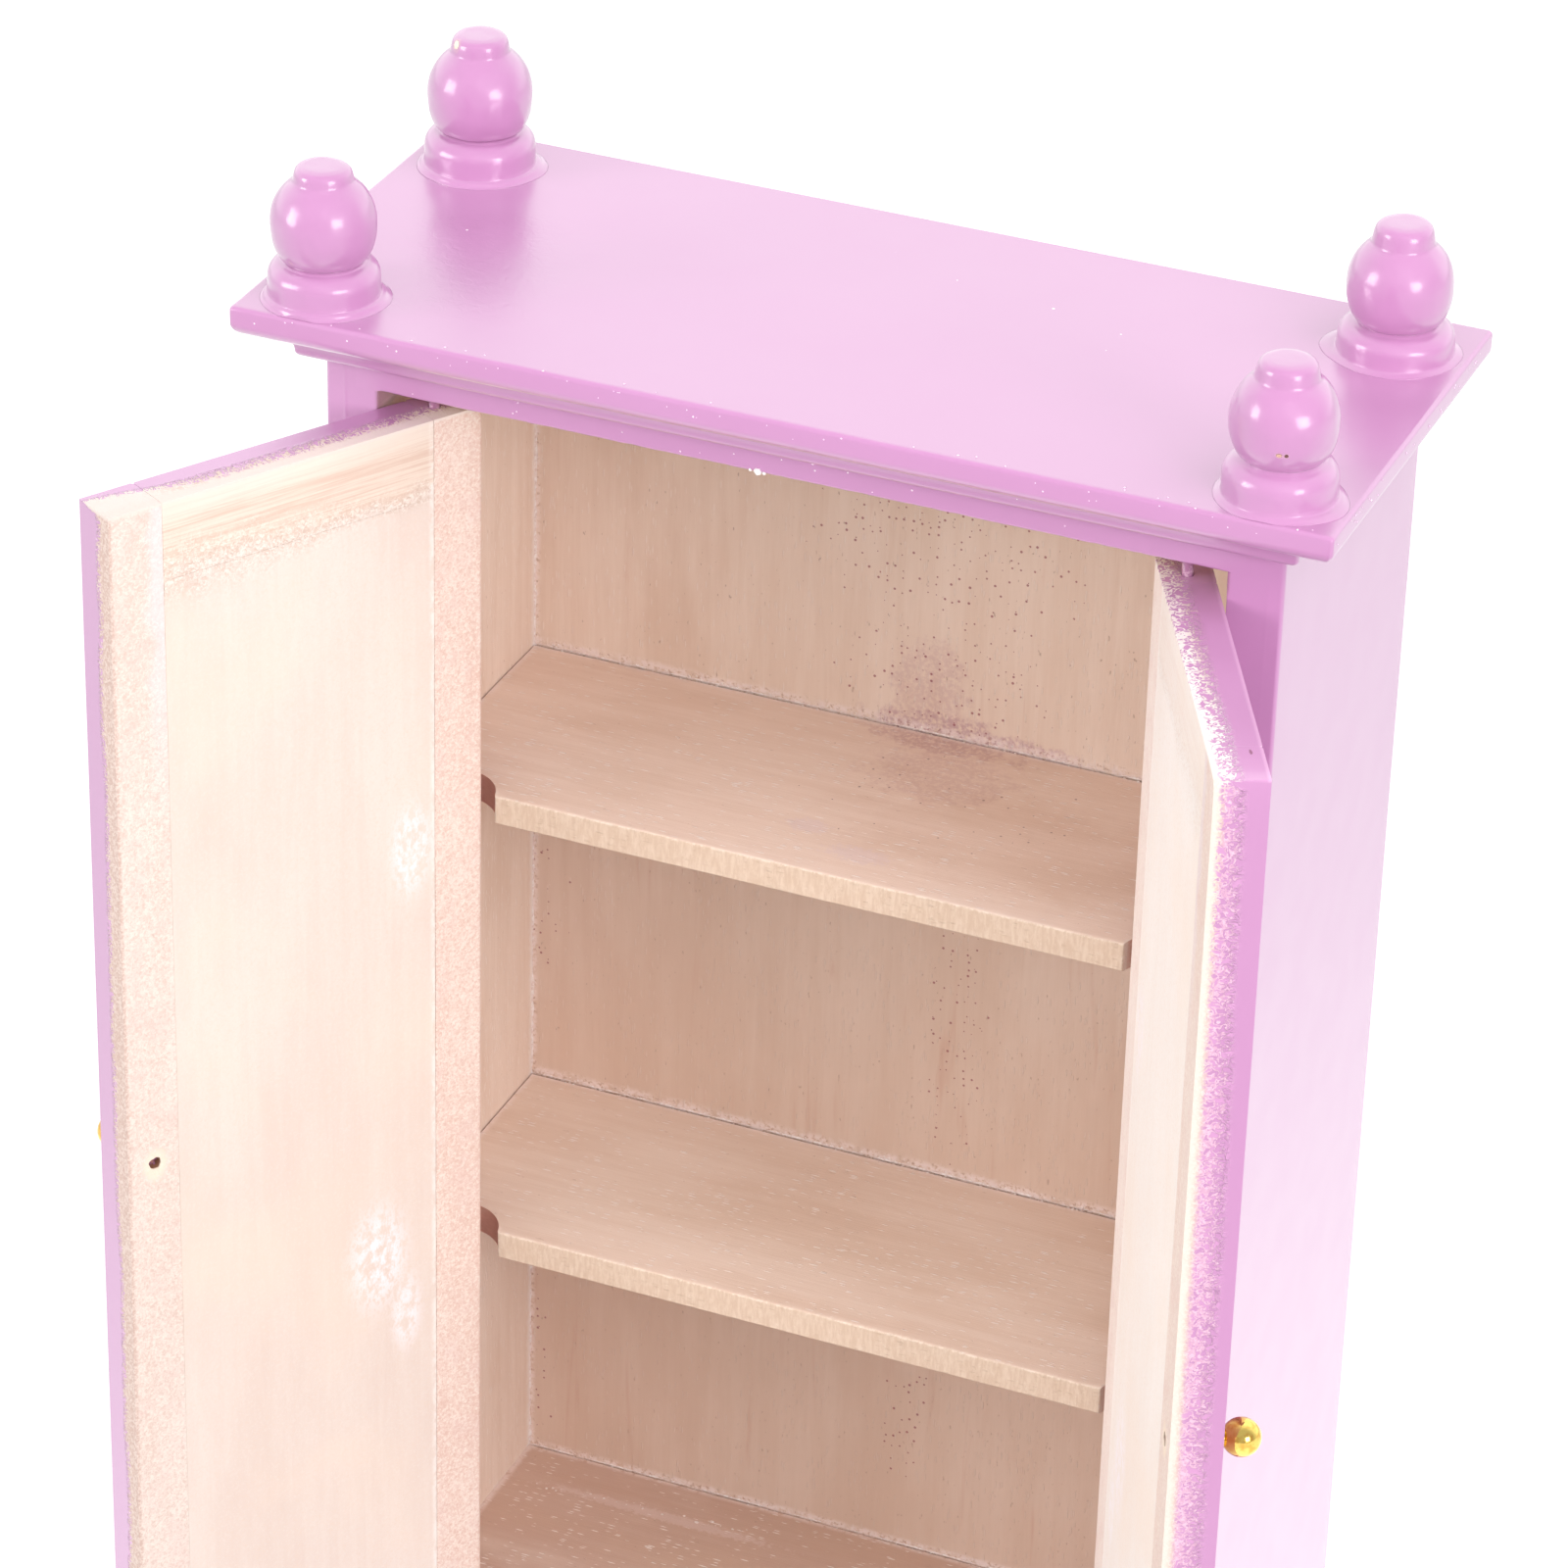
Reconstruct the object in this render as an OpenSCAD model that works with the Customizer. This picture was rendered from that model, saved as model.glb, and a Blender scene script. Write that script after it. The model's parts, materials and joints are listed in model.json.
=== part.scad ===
// Miniature wardrobe, dolls' house scale 1:12, with its two doors standing open
// on their pivot pins. All sizes in millimetres.
// Frame: +Z up, the front faces -Y, left is -X. The origin is the centre of the
// flat underside of the base, on the floor.

/* [Carcase] */
// Half of the overall width over the two sides
side_x = 44.1; // [40:0.1:48]
// Thickness of the sides
side_t = 5.0; // [4:0.1:6]
// Thickness of the top, bottom and back boards
board_t = 3.0; // [2.4:0.1:3.4]
// Depth of the carcase from its front edge to its back edge
carcase_d = 37.1; // [34:0.1:42]
// Height of the opening between the bottom board and the top board
open_h = 133.3; // [120:0.1:150]
// How far the top, bottom and back boards are housed into the sides
housing = 2.0; // [1:0.1:3]
// Distance from the front edge of the carcase to the back board
inside_d = 33.0; // [30:0.1:35]

/* [Cornice and base] */
// Width of the cornice and of the base
cornice_w = 100; // [96:0.5:106]
// Depth of the cornice and of the base
cornice_d = 43.0; // [41:0.1:46]
// Thickness of the cornice and of the base
cornice_t = 5.7; // [5.4:0.1:7]
// Overhang of the cornice in front of the carcase
overhang = 6.7; // [6:0.1:8]
// Height of the plain square edge above the moulding
fascia = 1.6; // [1:0.1:1.8]
// Radius of the round under the square edge
round_r = 1.2; // [0.8:0.1:1.3]
// Radius of the cove
cove_r = 2.4; // [2:0.1:2.6]

/* [Shelves] */
// Thickness of a shelf
shelf_t = 2.9; // [2:0.1:3.5]
// Height of the upper face of the lower shelf
lower_z = 53.2; // [45:0.1:60]
// Height of the upper face of the upper shelf
upper_z = 100.9; // [92:0.1:108]
// Set-back of the lower shelf from the carcase front
lower_back = 6.1; // [5.2:0.1:9]
// Set-back of the upper shelf from the carcase front
upper_back = 5.2; // [5.2:0.1:9]
// Radius of the notch that clears the door's pivot end
notch_r = 4.2; // [4:0.1:5]

/* [Doors] */
// Width of one door
door_w = 38.4; // [37:0.1:38.4]
// Height of one door
door_h = 130.8; // [126:0.1:131.4]
// Thickness of a door
door_t = 4.6; // [4:0.1:4.6]
// Opening angle at which the left door stands
left_open = 120; // [0:1:121]
// Opening angle at which the right door stands
right_open = 117; // [0:1:121]
// Clearance under the left door
left_lift = 0.85; // [0.1:0.05:1.5]
// Clearance under the right door
right_lift = 0.15; // [0.1:0.05:1.5]
// Width of the two stiles
stile_w = 5.3; // [4.8:0.1:7]
// Height of the two rails
rail_h = 7.5; // [5:0.1:12]
// Thickness of the door panel
panel_t = 3.0; // [2.4:0.1:3.4]
// Depth of the groove that holds the panel
groove = 1.0; // [0.6:0.1:1.4]
// Thickness of the tongue round the panel
tongue_t = 1.2; // [0.8:0.1:1.6]

/* [Pivots and knobs] */
// Distance of the pivot pin from the inner face of the side
pivot_x = 4.3; // [4.2:0.05:4.6]
// Distance of the pivot pin behind the front edge of the carcase
pivot_y = 2.5; // [2.4:0.05:2.7]
// Distance of the pivot pin from the door's pivot end
pivot_u = 3.7; // [3.2:0.05:3.8]
// Diameter of the pivot pins
pin_d = 1.0; // [0.8:0.1:1.2]
// Length of the pivot pins
pin_l = 9.4; // [8:0.1:10]
// Radial running clearance of a pin in the door
pin_gap = 0.05; // [0.02:0.01:0.08]
// Radius of the knob ball
knob_r = 1.72; // [1.2:0.01:2.2]
// Diameter of the knob's pin
knob_pin_d = 1.2; // [0.8:0.1:1.4]
// Distance of the knob from the meeting edge of the door
knob_in = 2.8; // [2.4:0.1:3.6]

/* [Finials] */
// Largest radius of the finial's ball
ball_r = 4.65; // [4:0.05:5]
// Largest radius of the finial's foot
foot_r = 5.15; // [4.6:0.05:5.3]
// Distance of a finial's centre from the ends of the cornice
finial_x = 6.5; // [5.6:0.1:8]
// Distance of the front finials from the front edge of the cornice
finial_y = 5.5; // [5.4:0.1:8]
// Distance of the rear finials from the back edge of the cornice
finial_rear_y = 6.5; // [5.4:0.1:8]
// Diameter of the finial's dowel
dowel_d = 2.5; // [2:0.1:3]
// Length of the finial's dowel
dowel_l = 4.0; // [2:0.1:4.6]

/* [Hidden] */
$fn = 96;
overlap = 0.01;  // small overlap where two shapes meet
past = 1;        // how far a cutter runs past the face it cuts

// colours
paint = [0.91, 0.66, 0.86];
paint_pale = [0.96, 0.80, 0.93];
raw_wood = [0.84, 0.70, 0.59];
raw_pale = [0.97, 0.93, 0.88];
shelf_wood = [0.80, 0.64, 0.53];
brass = [0.86, 0.68, 0.25];

// heights
floor_z = cornice_t;              // underside of the bottom board
inner_z0 = floor_z + board_t;     // upper face of the bottom board
inner_z1 = inner_z0 + open_h;     // lower face of the top board
cap_z = inner_z1 + board_t;       // underside of the cornice
top_z = cap_z + cornice_t;        // upper face of the cornice
carcase_h = cap_z - floor_z;

// plan
front_y = -cornice_d/2 + overhang;  // front edge of the carcase
back_board_y = front_y + inside_d;  // front face of the back board
inner_x = side_x - side_t;          // inner face of a side
board_x = inner_x + housing;        // end of a housed board

// pivot pins
pin_x = inner_x - pivot_x;
pin_y = front_y + pivot_y;
pin_inset = 0.1;                              // from a board's outer face to the pin's end
lower_pin_z = floor_z + pin_inset;            // lower end of a lower pin
upper_pin_z = cap_z - pin_inset - pin_l;      // lower end of an upper pin

// ---------- carcase ----------

// a side (-1 left, 1 right): a board with rebates for the top, bottom and back boards
module side_board(side) {
  mirror([side < 0 ? 1 : 0, 0, 0])
  difference() {
    translate([inner_x, front_y, floor_z]) cube([side_t, carcase_d, carcase_h]);
    for (z = [inner_z1, floor_z - past])
      translate([inner_x - past, front_y - past, z])
        cube([housing + past, inside_d + past + overlap, board_t + past]);
    translate([inner_x - past, back_board_y, floor_z - past])
      cube([housing + past, carcase_d, carcase_h + 2*past]);
  }
}

module left_side() { color(paint) side_board(-1); }
module right_side() { color(paint_pale) side_board(1); }

module back_panel() {
  color(raw_wood)
  translate([-board_x, back_board_y, floor_z]) cube([2*board_x, board_t, carcase_h]);
}

// top or bottom board with its two holes for the pivot pins
module end_board(z) {
  difference() {
    translate([-board_x, front_y, z]) cube([2*board_x, inside_d, board_t]);
    for (side = [-1, 1])
      translate([side*pin_x, pin_y, z - past]) cylinder(d = pin_d, h = board_t + 2*past);
  }
}

module top_board() { color(paint) end_board(inner_z1); }
module bottom_board() { color(shelf_wood) end_board(floor_z); }

notch_in = 4.7;       // from the side's inner face to the centre of the notch's round
notch_ahead = 0.7;    // from the shelf's front edge forward to that centre
notch_reach = 3;      // how far the notch cutter runs in front of the shelf

// a shelf: a board with a round-cornered notch at each front corner
module shelf(z, set_back) {
  shelf_y = front_y + set_back;
  cut_z = z - shelf_t - past;
  cut_h = shelf_t + 2*past;
  difference() {
    translate([-inner_x, shelf_y, z - shelf_t])
      cube([2*inner_x, back_board_y - shelf_y, shelf_t]);
    for (side = [-1, 1]) {
      translate([side*(inner_x - notch_in), shelf_y - notch_ahead, cut_z])
        cylinder(r = notch_r, h = cut_h);
      translate([side > 0 ? inner_x - notch_in : -inner_x - past, shelf_y - notch_reach, cut_z])
        cube([notch_in + past, notch_reach - notch_ahead + notch_r, cut_h]);
    }
  }
}

module upper_shelf() { color(shelf_wood) shelf(upper_z, upper_back); }
module lower_shelf() { color(shelf_wood) shelf(lower_z, lower_back); }

// ---------- cornice and base ----------

cove_x = round_r + 0.5;   // inset of the cove's centre and upper edge
lip_in = 4.1;             // inset of the lowest lip
lip_h = 0.8;              // height of that lip
dowel_gap = 0.3;          // space under a finial's dowel in its hole

// moulded edge as a plane figure: x runs inward from the edge, y = 0 is the
// face above the square edge; depth is the full size of the board along x
module edge_profile(depth) {
  round_z = -fascia - round_r;   // underside of the round
  // square edge and the round under it
  translate([0, -fascia]) square([depth, fascia]);
  translate([round_r, -fascia]) circle(r = round_r);
  translate([round_r, round_z]) square([depth - round_r, round_r]);
  // cove
  difference() {
    translate([cove_x, -cornice_t + lip_h])
      square([depth - cove_x, cornice_t - lip_h - fascia - round_r + overlap]);
    translate([cove_x, round_z - cove_r]) circle(r = cove_r);
  }
  // lip
  translate([lip_in, -cornice_t]) square([depth - lip_in, lip_h]);
}

// a board moulded along one edge, which starts at a plan corner;
// turn is the direction across the board, away from that edge
module one_edge_board(corner, turn, length, depth) {
  translate([corner[0], corner[1], 0])
    rotate([90, 0, turn]) linear_extrude(height = length) edge_profile(depth);
}

// the moulding runs along the front and both ends and stops at the back
module moulded_board() {
  half_w = cornice_w/2;
  half_d = cornice_d/2;
  intersection() {
    one_edge_board([-half_w, -half_d], 90, cornice_w, cornice_d);  // front
    one_edge_board([-half_w, half_d], 0, cornice_d, cornice_w);    // left end
    one_edge_board([half_w, -half_d], 180, cornice_d, cornice_w);  // right end
  }
}

// plan centres of the finials: front left, front right, rear left, rear right
finial_centres = [
  for (y = [-cornice_d/2 + finial_y, cornice_d/2 - finial_rear_y], side = [-1, 1])
    [side*(cornice_w/2 - finial_x), y]
];

module cornice() {
  color(paint_pale)
  difference() {
    translate([0, 0, top_z]) moulded_board();
    for (centre = finial_centres)
      translate([centre[0], centre[1], top_z - dowel_l - dowel_gap])
        cylinder(d = dowel_d, h = dowel_l + past);
  }
}

// the base is the cornice moulding the other way up
module base() {
  color(paint) mirror([0, 0, 1]) moulded_board();
}

// ---------- finials ----------

bulge_r = 1.2;      // round of the bulged foot
bulge_z = 1.75;     // height of that round's centre
ball_z = 7.15;      // height of the ball's centre
ball_top = 11.4;    // the ball is cut flat here, inside the cap

// square-edged steps: radius, height of the underside, thickness
finial_steps = [
  [dowel_d/2, -dowel_l, dowel_l + 1],         // dowel, run on into the foot
  [foot_r - 1.0, 0, 0.9],                     // inside the foot bead
  [foot_r - bulge_r, 0, bulge_z + bulge_r],   // inside the bulged foot
  [3.3, 0, 3.4],                              // inside the bead under the ball
  [2.55, 9, 1.9],                             // inside the neck bead
  [2.4, 10, 1.5],                             // between neck bead and cap
  [1.9, 10, 2.0]                              // inside the cap's round edge
];

// round edges: radius to the centre, height of the centre, radius of the round
finial_rounds = [
  [foot_r - 1.0, 0.45, 0.45],   // foot bead
  [3.3, 3.0, 0.4],              // bead under the ball
  [2.55, 10.55, 0.35],          // neck bead
  [1.9, 11.5, 0.5]              // cap
];

// keeps the part of a turned profile right of its axis, from 0 up to a height
module clip_profile(radius, height) {
  intersection() {
    square([radius + 1, height]);
    children();
  }
}

// a turned finial: dowel, foot bead, bulged foot, ball, neck bead, round-edged cap
module finial(index) {
  centre = finial_centres[index];
  translate([centre[0], centre[1], top_z])
  rotate_extrude() {
    for (step = finial_steps)
      translate([0, step[1]]) square([step[0], step[2]]);
    for (edge = finial_rounds)
      translate([edge[0], edge[1]]) circle(r = edge[2]);
    clip_profile(foot_r, 4) translate([foot_r - bulge_r, bulge_z]) circle(r = bulge_r);
    clip_profile(ball_r, ball_top) translate([0, ball_z]) circle(r = ball_r);
  }
}

module finial_front_left() { color(paint) finial(0); }
module finial_front_right() { color(paint) finial(1); }
module finial_rear_left() { color(paint) finial(2); }
module finial_rear_right() { color(paint) finial(3); }

// ---------- doors ----------

// A door piece is drawn as part of a closed left door with its pivot pin on the
// z axis: +x from the pivot end to the meeting edge, +y from the outer face to
// the inner face, the underside at z = 0. These two put it in place.
module at_left() {
  translate([-pin_x, pin_y, inner_z0 + left_lift])
    rotate([0, 0, -left_open]) children();
}
module at_right() {
  translate([pin_x, pin_y, inner_z0 + right_lift])
    rotate([0, 0, right_open]) mirror([1, 0, 0]) children();
}

outer_y = -door_t/2;                      // outer face
pivot_end = -pivot_u;
panel_x0 = pivot_end + stile_w;           // panel and rails lie between the stiles
panel_x1 = pivot_end + door_w - stile_w;
panel_w = panel_x1 - panel_x0;
panel_h = door_h - 2*rail_h;
knob_x = pivot_end + door_w - knob_in;
corner_r = 0.6;                           // round on the two corners of the pivot end
bore_gap = 0.3;                           // space past a pin's end in its bore
fit = 0.05;                               // slack of the tongue in its groove
tongue_y = outer_y + door_t - panel_t/2 - tongue_t/2;

// groove cutter round the panel's opening
module panel_groove() {
  translate([panel_x0 - groove, tongue_y - fit, rail_h - groove])
    cube([panel_w + 2*groove, tongue_t + 2*fit, panel_h + 2*groove]);
}

module hinge_stile(lift) {
  door_z = inner_z0 + lift;
  bore_d = pin_d + 2*pin_gap;
  difference() {
    linear_extrude(height = door_h) {
      translate([pivot_end + corner_r, outer_y]) square([stile_w - corner_r, door_t]);
      translate([pivot_end, outer_y + corner_r]) square([stile_w, door_t - 2*corner_r]);
      for (y = [outer_y + corner_r, -outer_y - corner_r])
        translate([pivot_end + corner_r, y]) circle(r = corner_r);
    }
    panel_groove();
    // blind bores that run on the pivot pins
    translate([0, 0, -past])
      cylinder(d = bore_d, h = past + lower_pin_z + pin_l - door_z + bore_gap);
    translate([0, 0, upper_pin_z - door_z - bore_gap]) cylinder(d = bore_d, h = door_h);
  }
}

module meeting_stile() {
  difference() {
    translate([panel_x1, outer_y, 0]) cube([stile_w, door_t, door_h]);
    panel_groove();
    // hole for the knob's pin, right through to the inner face
    translate([knob_x, outer_y - past, door_h/2]) rotate([-90, 0, 0])
      cylinder(d = knob_pin_d, h = door_t + 2*past);
  }
}

module rail(z) {
  difference() {
    translate([panel_x0, outer_y, z]) cube([panel_w, door_t, rail_h]);
    panel_groove();
  }
}

// the panel is flush inside, recessed outside, with a tongue all round
module door_panel() {
  tongue = groove - fit;
  translate([panel_x0, outer_y + door_t - panel_t, rail_h])
    cube([panel_w, panel_t, panel_h]);
  translate([panel_x0 - tongue, tongue_y, rail_h - tongue])
    cube([panel_w + 2*tongue, tongue_t, panel_h + 2*tongue]);
}

knob_pin_in = 3.2;    // length of the knob's pin inside the door
knob_pin_out = 0.4;   // length of the pin that runs on into the ball
collar_r = 0.95;
collar_h = 0.3;
knob_stand = 0.2;     // from the door's outer face to the ball

// a ball knob turned in one piece with its collar and pin
module knob() {
  translate([knob_x, outer_y, door_h/2]) rotate([90, 0, 0])
  rotate_extrude() {
    translate([0, -knob_pin_in]) square([knob_pin_d/2, knob_pin_in + knob_pin_out]);
    square([collar_r, collar_h]);
    clip_profile(knob_r, 5) translate([0, knob_r + knob_stand]) circle(r = knob_r);
  }
}

module left_hinge_stile() { color(raw_pale) at_left() hinge_stile(left_lift); }
module left_meeting_stile() { color(raw_pale) at_left() meeting_stile(); }
module left_top_rail() { color(raw_pale) at_left() rail(door_h - rail_h); }
module left_bottom_rail() { color(raw_pale) at_left() rail(0); }
module left_door_panel() { color(raw_pale) at_left() door_panel(); }
module left_knob() { color(brass) at_left() knob(); }
module right_hinge_stile() { color(raw_pale) at_right() hinge_stile(right_lift); }
module right_meeting_stile() { color(raw_pale) at_right() meeting_stile(); }
module right_top_rail() { color(raw_pale) at_right() rail(door_h - rail_h); }
module right_bottom_rail() { color(raw_pale) at_right() rail(0); }
module right_door_panel() { color(raw_pale) at_right() door_panel(); }
module right_knob() { color(brass) at_right() knob(); }

// four equal wire pins, driven into the top and bottom boards
module hinge_pins() {
  color(brass)
  for (side = [-1, 1], z = [lower_pin_z, upper_pin_z])
    translate([side*pin_x, pin_y, z]) cylinder(d = pin_d, h = pin_l);
}

left_side();
right_side();
back_panel();
top_board();
bottom_board();
upper_shelf();
lower_shelf();
cornice();
base();
finial_front_left();
finial_front_right();
finial_rear_left();
finial_rear_right();
hinge_pins();
left_hinge_stile();
left_meeting_stile();
left_top_rail();
left_bottom_rail();
left_door_panel();
left_knob();
right_hinge_stile();
right_meeting_stile();
right_top_rail();
right_bottom_rail();
right_door_panel();
right_knob();
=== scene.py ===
"""A small painted cabinet with two open doors, two shelves and four turned finials.

It stands on z = 0 with its front towards -Y and its left side towards -X. Lilac-pink paint
covers the outside; the wood inside is bare. Doors turn outwards on wire pins.
"""

import json
import math

import bmesh
import bpy
import numpy as np
from mathutils import Matrix, Vector, noise


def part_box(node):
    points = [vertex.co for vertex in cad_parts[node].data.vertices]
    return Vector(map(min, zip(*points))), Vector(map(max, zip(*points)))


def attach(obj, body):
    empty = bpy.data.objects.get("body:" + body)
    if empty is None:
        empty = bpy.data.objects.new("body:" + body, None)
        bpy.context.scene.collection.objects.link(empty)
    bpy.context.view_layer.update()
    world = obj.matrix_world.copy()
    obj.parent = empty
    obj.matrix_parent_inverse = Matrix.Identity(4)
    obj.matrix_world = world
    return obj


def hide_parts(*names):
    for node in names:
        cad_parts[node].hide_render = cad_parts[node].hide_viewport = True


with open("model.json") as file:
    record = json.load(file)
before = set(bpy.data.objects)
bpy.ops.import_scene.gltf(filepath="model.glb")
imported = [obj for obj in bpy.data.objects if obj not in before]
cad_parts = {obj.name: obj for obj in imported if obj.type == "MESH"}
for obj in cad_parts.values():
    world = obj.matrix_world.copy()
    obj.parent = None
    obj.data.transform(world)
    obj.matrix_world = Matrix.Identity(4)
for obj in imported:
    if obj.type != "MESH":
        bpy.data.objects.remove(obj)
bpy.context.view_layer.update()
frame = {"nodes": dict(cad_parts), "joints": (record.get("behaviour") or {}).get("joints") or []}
NODES = frame["nodes"]
scene = bpy.context.scene
scene.view_settings.view_transform = "Standard"
scene.view_settings.look = "None"

# Everything below is in millimetres until a mesh is finished.
MM = 0.001
NEAR = 0.01               # two coordinates this close are the same


def box_mm(node):
    low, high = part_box(node)
    return Vector(low) * 1000, Vector(high) * 1000


SIDE_LOW, SIDE_HIGH = box_mm("right_side")
COR_LOW, COR_HIGH = box_mm("cornice")
SHELF_HIGH = box_mm("upper_shelf")[1]
IN_X = SHELF_HIGH.x                     # inner face of the right side
OUT_X = SIDE_HIGH.x                     # outer face of the right side
FRONT_Y = SIDE_LOW.y                    # front edge of the carcase
BACK_Y = box_mm("back_panel")[0].y      # inner face of the back board
FLOOR_Z = box_mm("bottom_board")[1].z   # upper face of the bottom board
CEIL_Z = box_mm("top_board")[0].z       # lower face of the top board
UPPER_Z = SHELF_HIGH.z                  # upper faces of the shelves
LOWER_Z = box_mm("lower_shelf")[1].z
TOP_Z = COR_HIGH.z                      # upper face of the cornice

# A door's own frame: x from the pivot to the meeting edge, y from the outer
# face to the inner face, z up from the door's underside.
DOOR_H = (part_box("left_hinge_stile")[1].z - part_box("left_hinge_stile")[0].z) * 1000
DOOR_T = 4.6
PIVOT_X, MEET_X = -3.7, 34.7            # the door's two upright edges
OUTER_Y, INNER_Y = -DOOR_T / 2, DOOR_T / 2
STILE, RAIL = 5.3, 7.5                  # widths
KNOB_X, KNOB_Z = MEET_X - 2.8, DOOR_H / 2


def door_matrix(side):
    joint = next(j for j in frame["joints"] if j["name"] == side + "_door_hinge")
    pivot_x, pivot_y = joint["pos_m"][0] * 1000, joint["pos_m"][1] * 1000
    foot_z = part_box(side + "_hinge_stile")[0].z * 1000
    turn = math.radians(joint["range_deg"][1])
    if side == "left":
        rotation = Matrix.Rotation(-turn, 4, "Z")
    else:
        mirror = Matrix.Scale(-1, 4, Vector((1, 0, 0)))
        rotation = Matrix.Rotation(turn, 4, "Z") @ mirror
    return Matrix.Translation((pivot_x, pivot_y, foot_z)) @ rotation


# ------------------------------------------------------------ mesh helpers

def jitter(x, y, z):
    return noise.noise(Vector((x, y, z)))


def cad_mesh(node, to_local=None):
    """A clean copy of a CAD piece, in mm, with its flat faces whole."""
    mesh = bmesh.new()
    mesh.from_mesh(NODES[node].data)
    bmesh.ops.scale(mesh, vec=(1000, 1000, 1000), verts=mesh.verts)
    if to_local is not None:
        bmesh.ops.transform(mesh, matrix=to_local, verts=mesh.verts)
    bmesh.ops.remove_doubles(mesh, verts=mesh.verts, dist=0.002)
    bmesh.ops.dissolve_limit(mesh, angle_limit=math.radians(0.3),
                             verts=mesh.verts, edges=mesh.edges)
    bmesh.ops.recalc_face_normals(mesh, faces=mesh.faces)
    return mesh


def both_at(start, end, axis, value):
    return abs(start[axis] - value) < NEAR and abs(end[axis] - value) < NEAR


def soften(mesh, width, segments, pick=None, min_length=1.3):
    """Rounds the sharp convex edges that pick(start, end) accepts."""
    edges = []
    for edge in mesh.edges:
        if len(edge.link_faces) != 2 or edge.calc_length() < min_length or not edge.is_convex:
            continue
        if edge.calc_face_angle(0.0) < math.radians(50):
            continue
        if pick is None or pick(edge.verts[0].co, edge.verts[1].co):
            edges.append(edge)
    if edges:
        bmesh.ops.bevel(mesh, geom=edges, offset=width, offset_type="OFFSET", segments=segments,
                        profile=0.5, affect="EDGES", clamp_overlap=True)


def cut_planes(mesh, axis, values):
    normal = Vector((0, 0, 0))
    normal[axis] = 1.0
    for value in values:
        bmesh.ops.bisect_plane(mesh, geom=mesh.verts[:] + mesh.edges[:] + mesh.faces[:],
                               dist=1e-5, plane_co=normal * value, plane_no=normal)


def cut_every(mesh, axis, spacing):
    places = [vert.co[axis] for vert in mesh.verts]
    low, high = min(places), max(places)
    count = max(1, round((high - low) / spacing))
    cut_planes(mesh, axis, [low + (high - low) * (i + 0.37) / count for i in range(count)])


def wobble(mesh, depth, frequency, seed):
    """Uneven hand-sanded surfaces: points sink by 0..depth mm."""
    mesh.normal_update()
    shift = Vector((seed * 7.31, seed * 3.17, seed * 11.9))
    per_axis = frequency if isinstance(frequency, tuple) else (frequency,) * 3
    for vert in mesh.verts:
        place = [c * f for c, f in zip(vert.co, per_axis)]
        slow = noise.noise(Vector(place) + shift)
        fast = noise.noise(Vector([c * 3.7 for c in place]) - shift)
        level = 0.5 + 0.5 * (0.75 * slow + 0.25 * fast)
        vert.co += vert.normal * (-depth * (1 - level))


def tidy(mesh):
    large = [face for face in mesh.faces if len(face.verts) > 4]
    if large:
        bmesh.ops.triangulate(mesh, faces=large, quad_method="BEAUTY", ngon_method="BEAUTY")


def finish_piece(name, mesh, body, material, replaces=(), to_world=None, weighted=True):
    """Turns a mesh in mm into an object riding on a body.

    The attribute loc keeps each vertex's place in the piece's own frame, in mm.
    """
    if weighted:
        for edge in mesh.edges:
            if len(edge.link_faces) == 2 and edge.calc_face_angle(0.0) > math.radians(38):
                edge.smooth = False
    layer = mesh.verts.layers.float_vector.new("loc")
    for vert in mesh.verts:
        vert[layer] = vert.co.copy()
    if to_world is not None:
        bmesh.ops.transform(mesh, matrix=to_world, verts=mesh.verts)
        if to_world.determinant() < 0:
            bmesh.ops.reverse_faces(mesh, faces=mesh.faces)
    bmesh.ops.scale(mesh, vec=(MM, MM, MM), verts=mesh.verts)
    data = bpy.data.meshes.new(name)
    mesh.to_mesh(data)
    mesh.free()
    data.shade_smooth()
    data.materials.append(material)
    piece = bpy.data.objects.new(name, data)
    scene.collection.objects.link(piece)
    if weighted:
        normals = piece.modifiers.new("normals", "WEIGHTED_NORMAL")
        normals.weight = 60
        normals.keep_sharp = True
    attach(piece, body)
    if replaces:
        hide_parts(*replaces)


def grid_faces(mesh, rows, closed=False):
    """Quads between rows of vertices, each row a list of equal length."""
    for upper, lower in zip(rows[:-1], rows[1:]):
        count = len(upper)
        for i in range(count if closed else count - 1):
            j = (i + 1) % count
            mesh.faces.new((upper[i], upper[j], lower[j], lower[i]))


def smooth_series(values, sigma):
    """Gaussian smoothing, with sigma counted in points."""
    reach = int(4 * sigma) + 1
    kernel = np.exp(-0.5 * (np.arange(-reach, reach + 1) / sigma) ** 2)
    kernel /= kernel.sum()
    return np.convolve(np.pad(values, reach, mode="edge"), kernel, mode="valid")


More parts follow.
